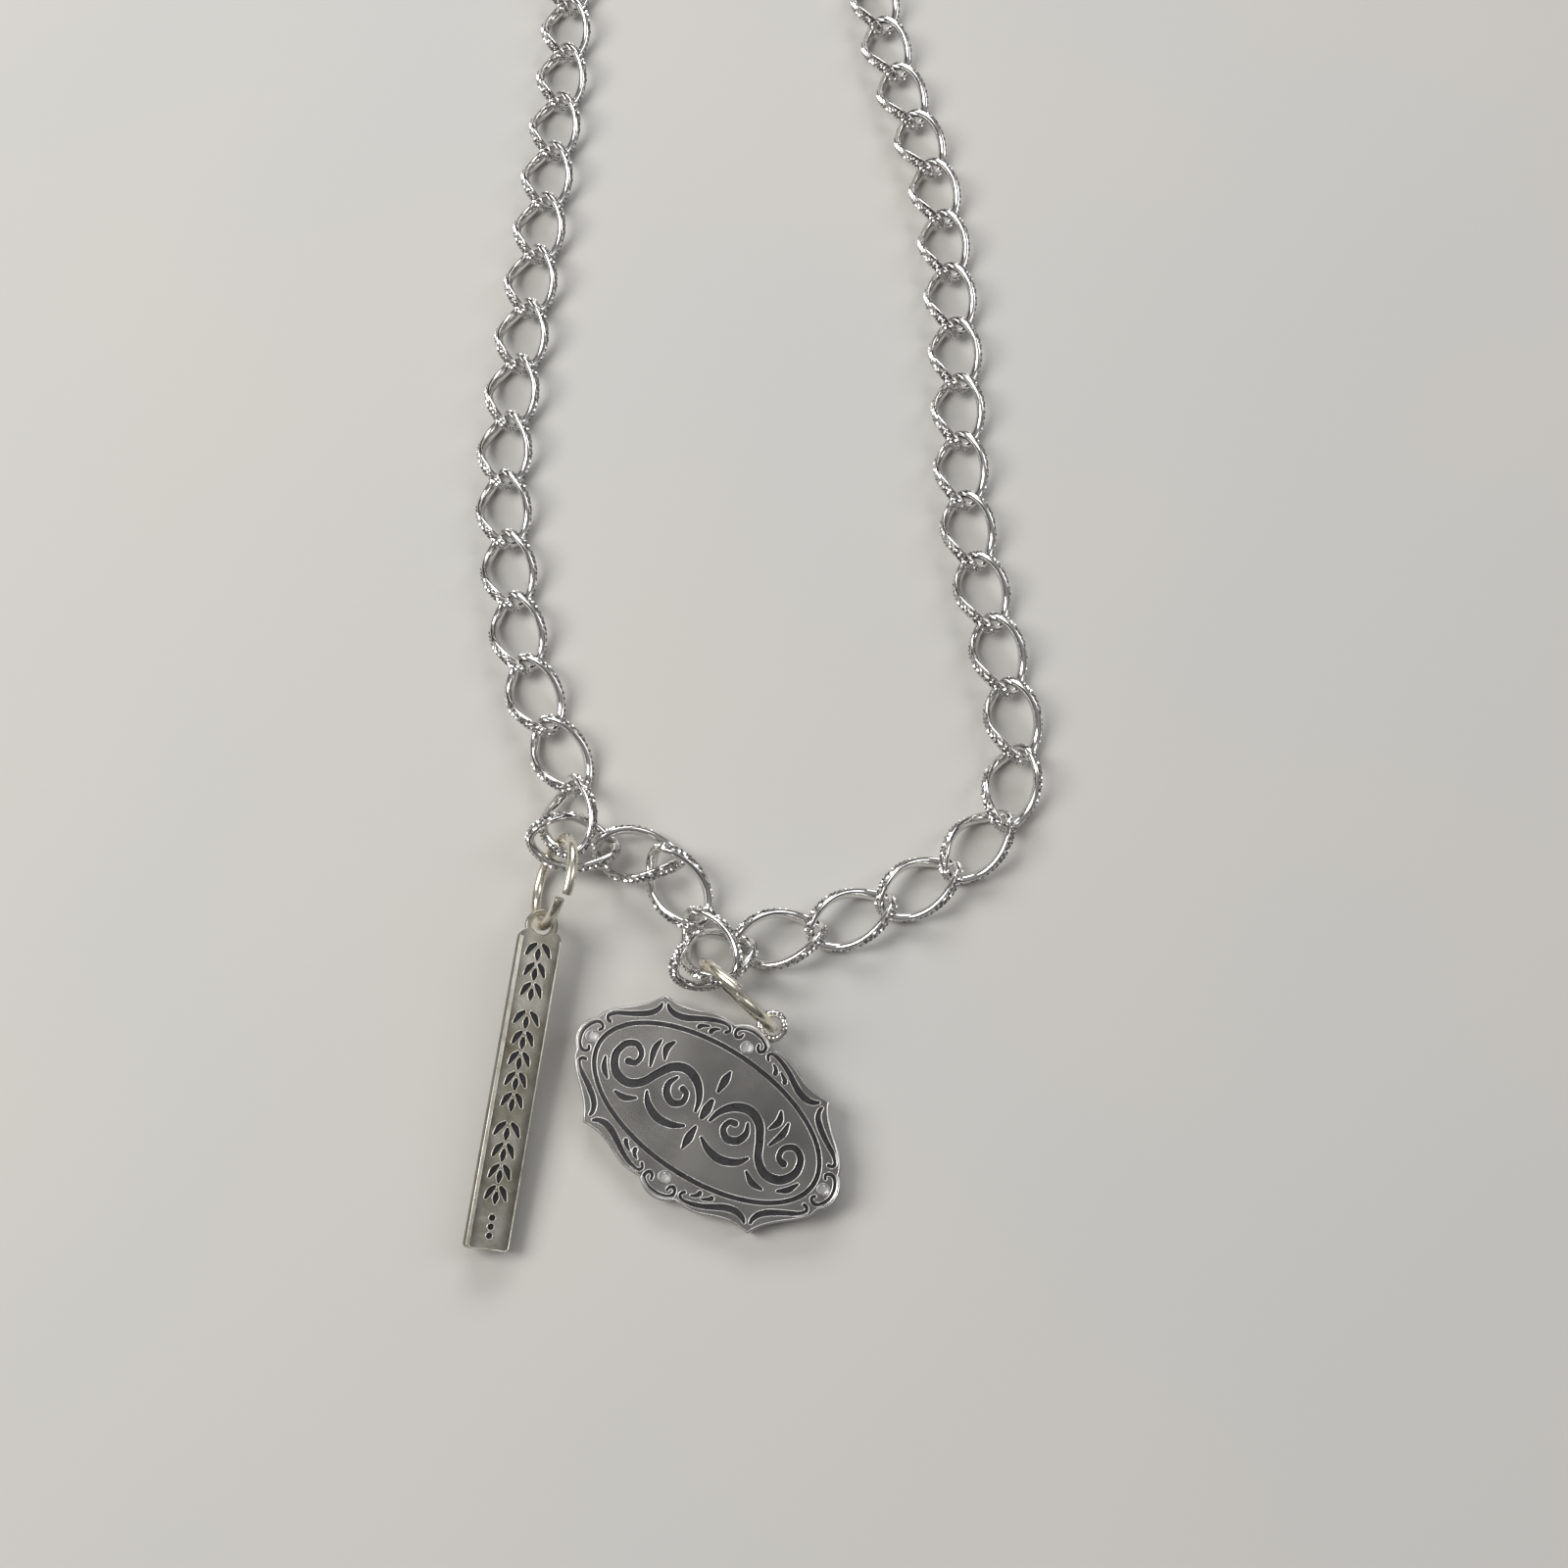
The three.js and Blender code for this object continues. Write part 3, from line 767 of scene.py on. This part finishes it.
# Half of the flourish inside the oval. The other half mirrors it
FLOURISH = (
    [(0.80, -0.45, .24), (1.15, 0.70, .46), (2.10, 1.80, .64), (3.50, 2.30, .68), (4.85, 1.75, .66),
     (5.75, 0.45, .60), (6.50, -0.95, .60), (7.70, -1.75, .64), (9.15, -1.50, .64), (10.05, -0.25, .58),
     (9.85, 1.10, .50), (8.85, 1.70, .46), (7.98, 1.10, .42), (8.05, 0.18, .42), (8.70, -0.05, .54)],
    [(3.95, 1.20, .20), (4.32, 0.30, .46), (3.95, -0.62, .56), (3.05, -1.00, .54), (2.30, -0.45, .46),
     (2.40, 0.38, .40), (2.95, 0.58, .48)],
    [(1.00, -2.20, .22), (2.10, -2.75, .50), (3.55, -2.90, .62), (4.95, -2.30, .50), (5.65, -1.45, .20)],
    [(5.90, 1.95, .20), (6.30, 2.90, .54), (6.00, 3.75, .22)],
    [(6.70, 0.70, .20), (7.20, 2.15, .50), (7.15, 3.20, .20)],
    [(6.20, -2.50, .20), (7.15, -3.05, .48), (8.20, -3.05, .20)],
    [(9.55, -2.40, .20), (10.30, -1.80, .44), (10.78, -0.88, .18)],
)
FLOURISH_MIDDLE = (
    [(0, 4.25, .18), (0, 3.40, .64), (0, 2.20, .26)],
    [(0, 1.10, .38), (0, 0.25, .70), (0, -0.60, .38)],
    [(0, -1.70, .26), (0, -2.85, .64), (0, -3.90, .18)],
)


def bezier(points, steps):
    """Points of a Bezier curve, without its last."""
    last = len(points) - 1
    for k in range(steps):
        t = k / steps
        weights = [math.comb(last, n) * t ** n * (1 - t) ** (last - n) for n in range(last + 1)]
        yield tuple(sum(w * p[axis] for w, p in zip(weights, points)) for axis in (0, 1))


def plaque_quarter():
    """Outline of the plaque's first quarter: half of the end lobe, a hollow side up to a pointed
    corner, another hollow side, and half of the top lobe."""
    end, top = (PLAQUE_HALF_LENGTH, 0), (0, PLAQUE_HALF_WIDTH)
    end_lobe, corner, top_lobe = (13.55, 1.8), (9.25, 7.05), (2.0, 8.25)
    outline = list(bezier([end, (end[0], 1.1), end_lobe], 9))
    outline += bezier([end_lobe, (13.4, 3.6), (10.2, 4.6), corner], 16)
    outline += bezier([corner, (5.6, 6.6), (5.4, 8.7), top_lobe], 18)
    outline += bezier([top_lobe, (1.1, top[1]), top], 9)
    return outline + [top]


def plaque_outline(scale_x=1.0, scale_y=1.0):
    """The plaque's whole outline, at a share of its length and width."""
    quarter = plaque_quarter()
    upper = quarter + [(-x, y) for x, y in reversed(quarter[:-1])]
    lower = [(x, -y) for x, y in reversed(upper[1:-1])]
    return [(x * scale_x, y * scale_y) for x, y in upper + lower]


def plaque_grooves():
    """Outlines of every groove. The last is the inner side of the oval, whose metal is inside it."""
    grooves = []
    for groove in BORDER_GROOVES:
        grooves += four_ways(stroke(groove, BORDER_WEIGHT))
    lobe, end = (half + [(-x, y, width) for x, y, width in reversed(half[:-1])]
                 for half in (LOBE_SCROLL, END_SCROLL))
    grooves += [mirrored(stroke(lobe), 1, flip) for flip in (1, -1)]
    grooves += [[(y * flip, x) for x, y in stroke(end)] for flip in (1, -1)]
    for groove in FLOURISH:
        grooves += [mirrored(stroke(groove, FLOURISH_WEIGHT), flip) for flip in (1, -1)]
    grooves += [stroke(groove, FLOURISH_WEIGHT) for groove in FLOURISH_MIDDLE]
    radius_x, radius_y, width = GROOVE_OVAL
    grooves += [oval(radius_x + out, radius_y + out, steps=OVAL_STEPS) for out in (width / 2, -width / 2)]
    return grooves


def plaque_frame():
    """Frame with the plaque's middle as its origin, its long axis as X and its face as +Z, and
    where the middle of its eye is in that frame."""
    x_axis = (node_middle("crystal_right") - node_middle("crystal_left")).normalized()
    z_axis = joint_axis("plaque_charm_swing")
    x_axis = (x_axis - z_axis * x_axis.dot(z_axis)).normalized()
    y_axis = z_axis.cross(x_axis)
    eye = joint_point("plaque_charm_swing")
    middle = (node_middle("crystal_right") + node_middle("crystal_left")) / 2
    drop = (middle - eye).dot(y_axis)
    shift = (middle - eye).dot(x_axis)
    place = matrix_from(x_axis, y_axis, z_axis, eye + x_axis * shift + y_axis * drop)
    return place, Vector((-shift, -drop, 0))


def crystal(name):
    """A small round stone: a flat table, a crown and a girdle, in flat facets. Each ring of its
    corners has a height, a share of its radius and a turn, in sides."""
    sides = CRYSTAL_SIDES
    points = []
    for height, share, turn in CRYSTAL_RINGS:
        radius = share * CRYSTAL_RADIUS
        for k in range(sides):
            angle = 2 * math.pi * (k + turn) / sides
            points.append((radius * math.cos(angle), radius * math.sin(angle), height))
    last = len(CRYSTAL_RINGS) - 1
    faces = [tuple(range(sides)), tuple(reversed(range(last * sides, (last + 1) * sides)))]
    for ring in range(last):
        for k in range(sides):
            a, b = ring * sides + k, ring * sides + (k + 1) % sides
            faces += [(a, a + sides, b), (b, a + sides, b + sides)]
    piece = mesh_object(name, points, faces, (CRYSTAL,), smooth=False)
    recalculate_outward(piece.data)
    return piece


def build_plaque_eye(spot):
    middles, directions = circle_frames(PLAQUE_EYE_RADIUS, full_turn(PLAQUE_EYE_STEPS))

    def ripple(i, k):
        return 1 + PLAQUE_EYE_RIPPLE * math.sin(2 * math.pi * (i / 4 + 2 * k / PLAQUE_EYE_SIDES))

    return tube("visual_plaque_eye", [middle + spot for middle in middles], directions, PLAQUE_EYE_WIRE,
                PLAQUE_EYE_SIDES, CHAIN_FACETS, ripple=ripple, smooth=False)


def build_crystal(side, x, y, place):
    """A stone, the bezel round it, and the cup under it."""
    stand_in(crystal("visual_crystal_" + side), place @ shifted(x, y, PLAQUE_HALF_THICKNESS - CRYSTAL_DROP),
             "crystal_" + side)
    middles, directions = circle_frames(BEZEL_RADIUS - SINK, full_turn(BEZEL_STEPS))
    bezel = tube("visual_bezel_" + side, middles, directions, BEZEL_WIRE, BEZEL_SIDES, PLAQUE_BORDER)
    ride_along(bezel, place @ shifted(x, y, PLAQUE_HALF_THICKNESS - BEZEL_DROP), "plaque_charm")
    top = ENAMEL_HEIGHT + SINK
    cup = plate("visual_cup_" + side, [oval(BEZEL_RADIUS, BEZEL_RADIUS, steps=SEAT_STEPS)],
                top - CUP_HEIGHT, top, THIN_BEVEL, PLAQUE_BORDER, PLAQUE_BORDER)
    ride_along(cup, place @ shifted(x, y, 0), "plaque_charm")


def build_plaque():
    place, eye_spot = plaque_frame()
    satin = metal("plaque_satin", (0.29, 0.284, 0.275), (0.27, 0.264, 0.255), 0.25, patches=60,
                  scratches=2600, bump=0.06, grain=(0.03, 1.0, 1.0), frame_of_piece=place)
    outline = plaque_outline()
    inside = plaque_outline(*SHOULDER_SHRINK)
    face_outline = plaque_outline(*FACE_SHRINK)
    grooves = plaque_grooves()
    seats = [oval(BEZEL_RADIUS, BEZEL_RADIUS, spot, SEAT_STEPS) for spot in CRYSTAL_SPOTS.values()]
    pieces = (
        plate("visual_plaque_body", [outline], -PLAQUE_HALF_THICKNESS, FACE_FLOOR + SINK,
              PLAQUE_BEVEL, PLAQUE_BORDER, PLAQUE_EDGE),
        plate("visual_plaque_shoulder", [outline, inside], SHOULDER_FLOOR, SHOULDER_HEIGHT,
              PLAQUE_BEVEL, PLAQUE_BORDER, PLAQUE_EDGE),
        plate("visual_plaque_face", [face_outline, *grooves, *seats], FACE_FLOOR,
              PLAQUE_HALF_THICKNESS - LIP_RISE, GROOVE_BEVEL, satin, PLAQUE_EDGE),
        beads("visual_plaque_lips", grooves[:-1], [face_outline, grooves[-1]], LIP_RADIUS,
              PLAQUE_HALF_THICKNESS - LIP_RADIUS, PLAQUE_EDGE),
        plate("visual_plaque_enamel", [inside], FACE_FLOOR - SINK, ENAMEL_HEIGHT, THIN_BEVEL, BLACK, BLACK),
        build_plaque_eye(eye_spot),
    )
    for piece in pieces:
        stand_in(piece, place, "plaque_charm")
    for side, spot in CRYSTAL_SPOTS.items():
        build_crystal(side, *spot, place)


# ---- Bar charm ----

BAR_RIM = 0.14
BAR_LIT_SIDE_RIM = 0.36               # the rim of the side that faces the light, drawn wider in bright metal as a painted highlight
BAR_RIM_FLOOR = 0.6               # where the rim starts, above the middle of the bar's thickness
BAR_RIM_START = 0.8               # from the bar's first end
BAR_RIM_BEVEL = 0.06
BAR_BODY_HEIGHT = 0.5
BAR_BODY_BEVEL = 0.12
BAR_FACE_FLOOR = 0.46
BAR_FACE_HEIGHT = 0.86
BAR_ENAMEL_FLOOR = 0.44
BAR_ENAMEL_HEIGHT = 0.68
BAR_ENAMEL_INSET = 0.4            # from the bar's sides and far end
BAR_CORNERS = (0.8, 0.35)         # radius at the eye's end and at the far end

TAB_RADIUS = 1.57                 # the rounded tab that the eye's hole goes through
TAB_HOLE = 0.95
TAB_END = 0.7                     # how far its round part reaches along the bar
TAB_ROOT = (2.0, 1.4)             # how far the tab reaches into the bar, and half its width there
TAB_HALF_THICKNESS = 0.34
TAB_BEVEL = 0.2
NOTCH_RADIUS = 1.0                # the notch in the bar's end, round the eye's hole
NOTCH_STEPS = 10

SPRIG_START = 1.35                # from the bar's end
SPRIGS = (3, 5, 4)                # sprigs in each group along the bar
SPRIG_PITCH = 1.92
SPRIG_WEIGHT = 1.2
SPRIG_GAP = 0.75
SPRIG_SHARE = 0.82                # the width of a group's other sprigs, to its first
DOTS = 3
DOT_RADIUS = 0.28
DOT_PITCH = 0.8
DOT_START = 0.1


def sprig(start, size):
    """Two leaves that spread apart, and a bud between them. It points along the bar."""
    parts = []
    for side in (1, -1):
        parts.append([(start + 0.05, side * 0.36 * size, .26), (start + 0.45, side * 0.76 * size, .44),
                      (start + 1.12, side * 1.12 * size, .20)])
    parts.append([(start + 0.60, 0, .26), (start + 1.02, 0, .46), (start + 1.48, 0, .20)])
    return [stroke(part, SPRIG_WEIGHT) for part in parts]


def bar_grooves():
    grooves = []
    at = BAR_START + SPRIG_START
    for count in SPRIGS:
        for i in range(count):
            grooves += sprig(at, 1.0 if i == 0 else SPRIG_SHARE)
            at += SPRIG_PITCH
        at += SPRIG_GAP
    for i in range(DOTS):
        grooves.append(oval(DOT_RADIUS, DOT_RADIUS, (at + DOT_START + DOT_PITCH * i, 0), 18))
    return grooves


def bar_frame():
    """Frame with the bar's eye as its origin, the bar along +X and its face as +Z."""
    z_axis = joint_axis("bar_charm_swing")
    eye = joint_point("bar_charm_swing")
    x_axis = Vector(corners("bar_charm").mean(0)) - eye
    x_axis = (x_axis - z_axis * x_axis.dot(z_axis)).normalized()
    return matrix_from(x_axis, z_axis.cross(x_axis), z_axis, eye)


def notched(outline):
    """A bar's outline with a round notch for the eye's hole in its straight first end."""
    reach = math.acos(BAR_START / NOTCH_RADIUS)
    turns = [reach - 2 * reach * k / NOTCH_STEPS for k in range(NOTCH_STEPS + 1)]
    notch = [(NOTCH_RADIUS * math.cos(turn), NOTCH_RADIUS * math.sin(turn)) for turn in turns]
    split = next(i for i in range(len(outline)) if outline[i][1] > 0 > outline[(i + 1) % len(outline)][1])
    return outline[:split + 1] + notch + outline[split + 1:]


def tab_outline():
    """The eye's tab: round about the eye's hole, with a straight root that runs into the bar."""
    arc = [point for point in oval(TAB_RADIUS, TAB_RADIUS) if point[0] < TAB_END]
    first = next(i for i in range(len(arc)) if arc[i][1] > 0 and (i == 0 or arc[i - 1][1] < 0))
    root_x, root_y = TAB_ROOT
    return [(root_x, root_y), *arc[first:], *arc[:first], (root_x, -root_y)]


def bar_rim_outline():
    """The raised rim: a U along both sides and round the far end, wider on one side as a painted highlight of the
    side that faces the light.
    """
    start, end, half = BAR_START + BAR_RIM_START, BAR_START + BAR_LENGTH, BAR_HALF_WIDTH
    # the wider strip on one side is a painted highlight, where the light falls
    far, lit_side, thin = end - BAR_RIM, BAR_LIT_SIDE_RIM - half, half - BAR_RIM
    outer, middle, inner = BAR_CORNERS[1], 0.1, 0.2
    outside = [(start, -half), (end - outer, -half), (end - middle, middle - half), (end, outer - half),
               (end, half - outer), (end - middle, half - middle), (end - outer, half), (start, half)]
    inside = [(start, thin), (far - inner, thin), (far, thin - inner), (far, lit_side + inner),
              (far - inner, lit_side), (start, lit_side)]
    return outside + inside


def build_bar():
    end = BAR_START + BAR_LENGTH
    half = BAR_HALF_WIDTH
    inset = BAR_ENAMEL_INSET
    outline = notched(rounded_box(BAR_START, end, half, *BAR_CORNERS))
    place = bar_frame()
    antiqued = metal("bar_antiqued", (0.60, 0.58, 0.52), (0.27, 0.245, 0.185), 0.38, patches=420,
                     scratches=1800, bump=0.2, frame_of_piece=place)
    darken_towards_edges(antiqued, place, half, clean=0.75, share=0.42)
    grooves = bar_grooves()
    pieces = (
        plate("visual_bar_body", [outline], -BAR_HALF_THICKNESS, BAR_BODY_HEIGHT, BAR_BODY_BEVEL,
              antiqued, BAR_SIDE),
        plate("visual_bar_face", [outline, *grooves], BAR_FACE_FLOOR, BAR_FACE_HEIGHT, GROOVE_BEVEL,
              antiqued, BAR_EDGE),
        beads("visual_bar_lips", grooves, (), LIP_RADIUS, BAR_FACE_HEIGHT - LIP_RADIUS + LIP_RISE, BAR_EDGE),
        plate("visual_bar_rim", [bar_rim_outline()], BAR_RIM_FLOOR, BAR_HALF_THICKNESS, BAR_RIM_BEVEL,
              BAR_EDGE, BAR_EDGE),
        plate("visual_bar_black", [rounded_box(BAR_START + 1.0, end - inset, half - inset, 0.3, 0.3)],
              BAR_ENAMEL_FLOOR, BAR_ENAMEL_HEIGHT, THIN_BEVEL, BLACK, BLACK),
        plate("visual_bar_eye", [tab_outline(), oval(TAB_HOLE, TAB_HOLE, steps=40)],
              -TAB_HALF_THICKNESS, TAB_HALF_THICKNESS, TAB_BEVEL, antiqued, BAR_EDGE),
    )
    for piece in pieces:
        stand_in(piece, place, "bar_charm")


# ---- Clasp ----

def clasp_frame():
    """Frame with the clasp's tail eye as its origin, its nose along +X and the lever on +Y."""
    y_axis = -joint_axis("clasp_swing")
    z_axis = -joint_axis("clasp_lever_open")
    return matrix_from(y_axis.cross(z_axis), y_axis, z_axis, joint_point("clasp_swing"))


# Outlines in the clasp's own plane
CLASP_BACK = [(1.6, -0.9), (2.0, -1.45), (2.7, -1.85), (4.0, -2.15), (5.2, -2.2)]
CLASP_CHEEK = [*CLASP_BACK, (5.7, -1.4), (5.6, -0.2), (5.4, 1.2), (5.0, 1.62), (4.2, 1.72), (3.2, 1.7),
               (2.3, 1.5), (1.8, 1.1)]
CLASP_SPINE = [*CLASP_BACK, (5.6, -1.5), (5.4, -0.62), (2.2, -0.62)]
CLASP_LEVER = [(3.2, 1.4), (2.9, 3.3), (3.3, 3.45), (3.8, 3.2), (4.1, 2.5), (4.7, 2.15), (5.4, 2.15),
               (6.4, 2.45), (7.6, 2.6), (8.7, 2.5), (8.7, 1.65), (7.2, 1.5), (6.1, 1.1), (5.2, 0.5),
               (4.5, 0.1), (3.7, 0.4)]
CLASP_PIN_SPOT = (4.4, 0.9)
CLASP_PIN_RADIUS = 0.35
CLASP_EYE_RADII = (2.2, 1.55)
# Half thicknesses, across that plane
CLASP_HALF = 1.3
CLASP_SLOT_HALF = 0.6
CLASP_SPINE_HALF = 0.8
CLASP_PIN_HALF = 1.33
CLASP_THIN_HALF = 0.4             # of the lever and the eye
# The hook is a band about part of an oval, between two angles in degrees
HOOK_MIDDLE = 7.9
HOOK_RADIUS_X = 3.3
HOOK_RADIUS_Y = 2.55
HOOK_HALF_BAND = 0.75
HOOK_ANGLES = (197, 425)
HOOK_STEPS = 40


def hook_outline():
    outline = []
    first, last = HOOK_ANGLES
    angles = [math.radians(first + (last - first) * k / HOOK_STEPS) for k in range(HOOK_STEPS + 1)]
    for side in (1, -1):
        radius_x, radius_y = HOOK_RADIUS_X + side * HOOK_HALF_BAND, HOOK_RADIUS_Y + side * HOOK_HALF_BAND
        arc = [(HOOK_MIDDLE + radius_x * math.cos(angle), radius_y * math.sin(angle)) for angle in angles]
        outline += arc[::side]
    return outline


def build_clasp():
    outer, inner = CLASP_EYE_RADII
    eye = [oval(outer, outer, steps=48), oval(inner, inner, steps=40)]
    pin = [oval(CLASP_PIN_RADIUS, CLASP_PIN_RADIUS, CLASP_PIN_SPOT, 24)]
    # Each plate's name, node, outlines, lower and upper height, and bevel
    plates = (
        ("front_cheek", "clasp_body", [CLASP_CHEEK], CLASP_SLOT_HALF, CLASP_HALF, 0.22),
        ("back_cheek", "clasp_body", [CLASP_CHEEK], -CLASP_HALF, -CLASP_SLOT_HALF, 0.22),
        ("spine", "clasp_body", [CLASP_SPINE], -CLASP_SPINE_HALF, CLASP_SPINE_HALF, 0.02),
        ("hook", "clasp_body", [hook_outline()], -CLASP_HALF, CLASP_HALF, 0.5),
        ("eye", "clasp_body", eye, -CLASP_THIN_HALF, CLASP_THIN_HALF, 0.28),
        ("lever", "clasp_lever", [CLASP_LEVER], -CLASP_THIN_HALF, CLASP_THIN_HALF, 0.12),
        ("pin", "clasp_pin", pin, -CLASP_PIN_HALF, CLASP_PIN_HALF, 0.08),
    )
    place = clasp_frame()
    for name, node, outlines, low, high, bevel in plates:
        piece = plate("visual_clasp_" + name, outlines, low, high, bevel, CLASP_METAL, CLASP_METAL)
        stand_in(piece, place, node)


build_plaque()
build_bar()
build_clasp()


# ---- Stage, light and camera ----

SHEET_SIZE = 3.0                  # metres, as the lights' places and sizes are


def build_stage():
    low, high = CAD_BOX
    middle = (low + high) / 2
    bpy.ops.mesh.primitive_plane_add(size=SHEET_SIZE, location=(middle.x, middle.y, 0))
    floor = bpy.context.object
    floor.name = "sheet"
    floor.data.materials.append(paper_material())


LIGHT_TARGET = Vector((0.0, -0.06, 0.0))
ROOM_COLOUR = (0.62, 0.61, 0.60)
ROOM_HEIGHTS = (0.15, 0.95)       # the room brightens between these two heights of the sky
ROOM_BRIGHTNESS = (0.05, 0.45)


def area_light(name, place, size, power, colour):
    data = bpy.data.lights.new(name, "AREA")
    data.shape = "RECTANGLE"
    data.size, data.size_y = size
    data.energy = power
    data.color = colour
    light = bpy.data.objects.new(name, data)
    bpy.context.scene.collection.objects.link(light)
    light.location = place
    light.rotation_euler = (LIGHT_TARGET - Vector(place)).to_track_quat("-Z", "Y").to_euler()


def build_lights():
    area_light("window_left", (-0.45, -0.02, 0.52), (0.32, 0.45), 3.0, (1.0, 0.985, 0.95))
    area_light("window_right", (0.60, 0.05, 0.55), (0.25, 0.5), 1.05, (0.98, 0.99, 1.0))
    area_light("room_behind", (0.0, 0.75, 0.52), (0.7, 0.3), 3.4, (1.0, 1.0, 1.0))
    world = bpy.data.worlds.new("soft_room")
    world.use_nodes = True
    nodes, links = world.node_tree.nodes, world.node_tree.links
    place = nodes.new("ShaderNodeTexCoord").outputs["Generated"]
    height = nodes.new("ShaderNodeSeparateXYZ")
    links.new(place, height.inputs["Vector"])
    ramp = nodes.new("ShaderNodeMapRange")
    set_range(ramp, ROOM_HEIGHTS, ROOM_BRIGHTNESS)
    links.new(height.outputs["Z"], ramp.inputs["Value"])
    links.new(ramp.outputs["Result"], nodes["Background"].inputs["Strength"])
    nodes["Background"].inputs["Color"].default_value = (*ROOM_COLOUR, 1)
    bpy.context.scene.world = world


PICTURE_MIDDLE = Vector((3.57, -70.10, 0.0))       # the point of the sheet at the picture's middle
CAMERA_OFFSET = Vector((0.0, -54.6, 150.0))        # 70 degrees above the sheet, 160 mm away
SENSOR_WIDTH = 36.0
LENS = 35.87


def build_camera():
    data = bpy.data.cameras.new("camera")
    data.lens = LENS
    data.sensor_width = SENSOR_WIDTH
    data.clip_start = MM
    camera = bpy.data.objects.new("camera", data)
    bpy.context.scene.collection.objects.link(camera)
    camera.location = (PICTURE_MIDDLE + CAMERA_OFFSET) * MM
    camera.rotation_euler = (math.atan2(-CAMERA_OFFSET.y, CAMERA_OFFSET.z), 0, 0)
    bpy.context.scene.camera = camera


build_stage()
build_lights()
build_camera()
bpy.context.scene.view_settings.view_transform = "Standard"
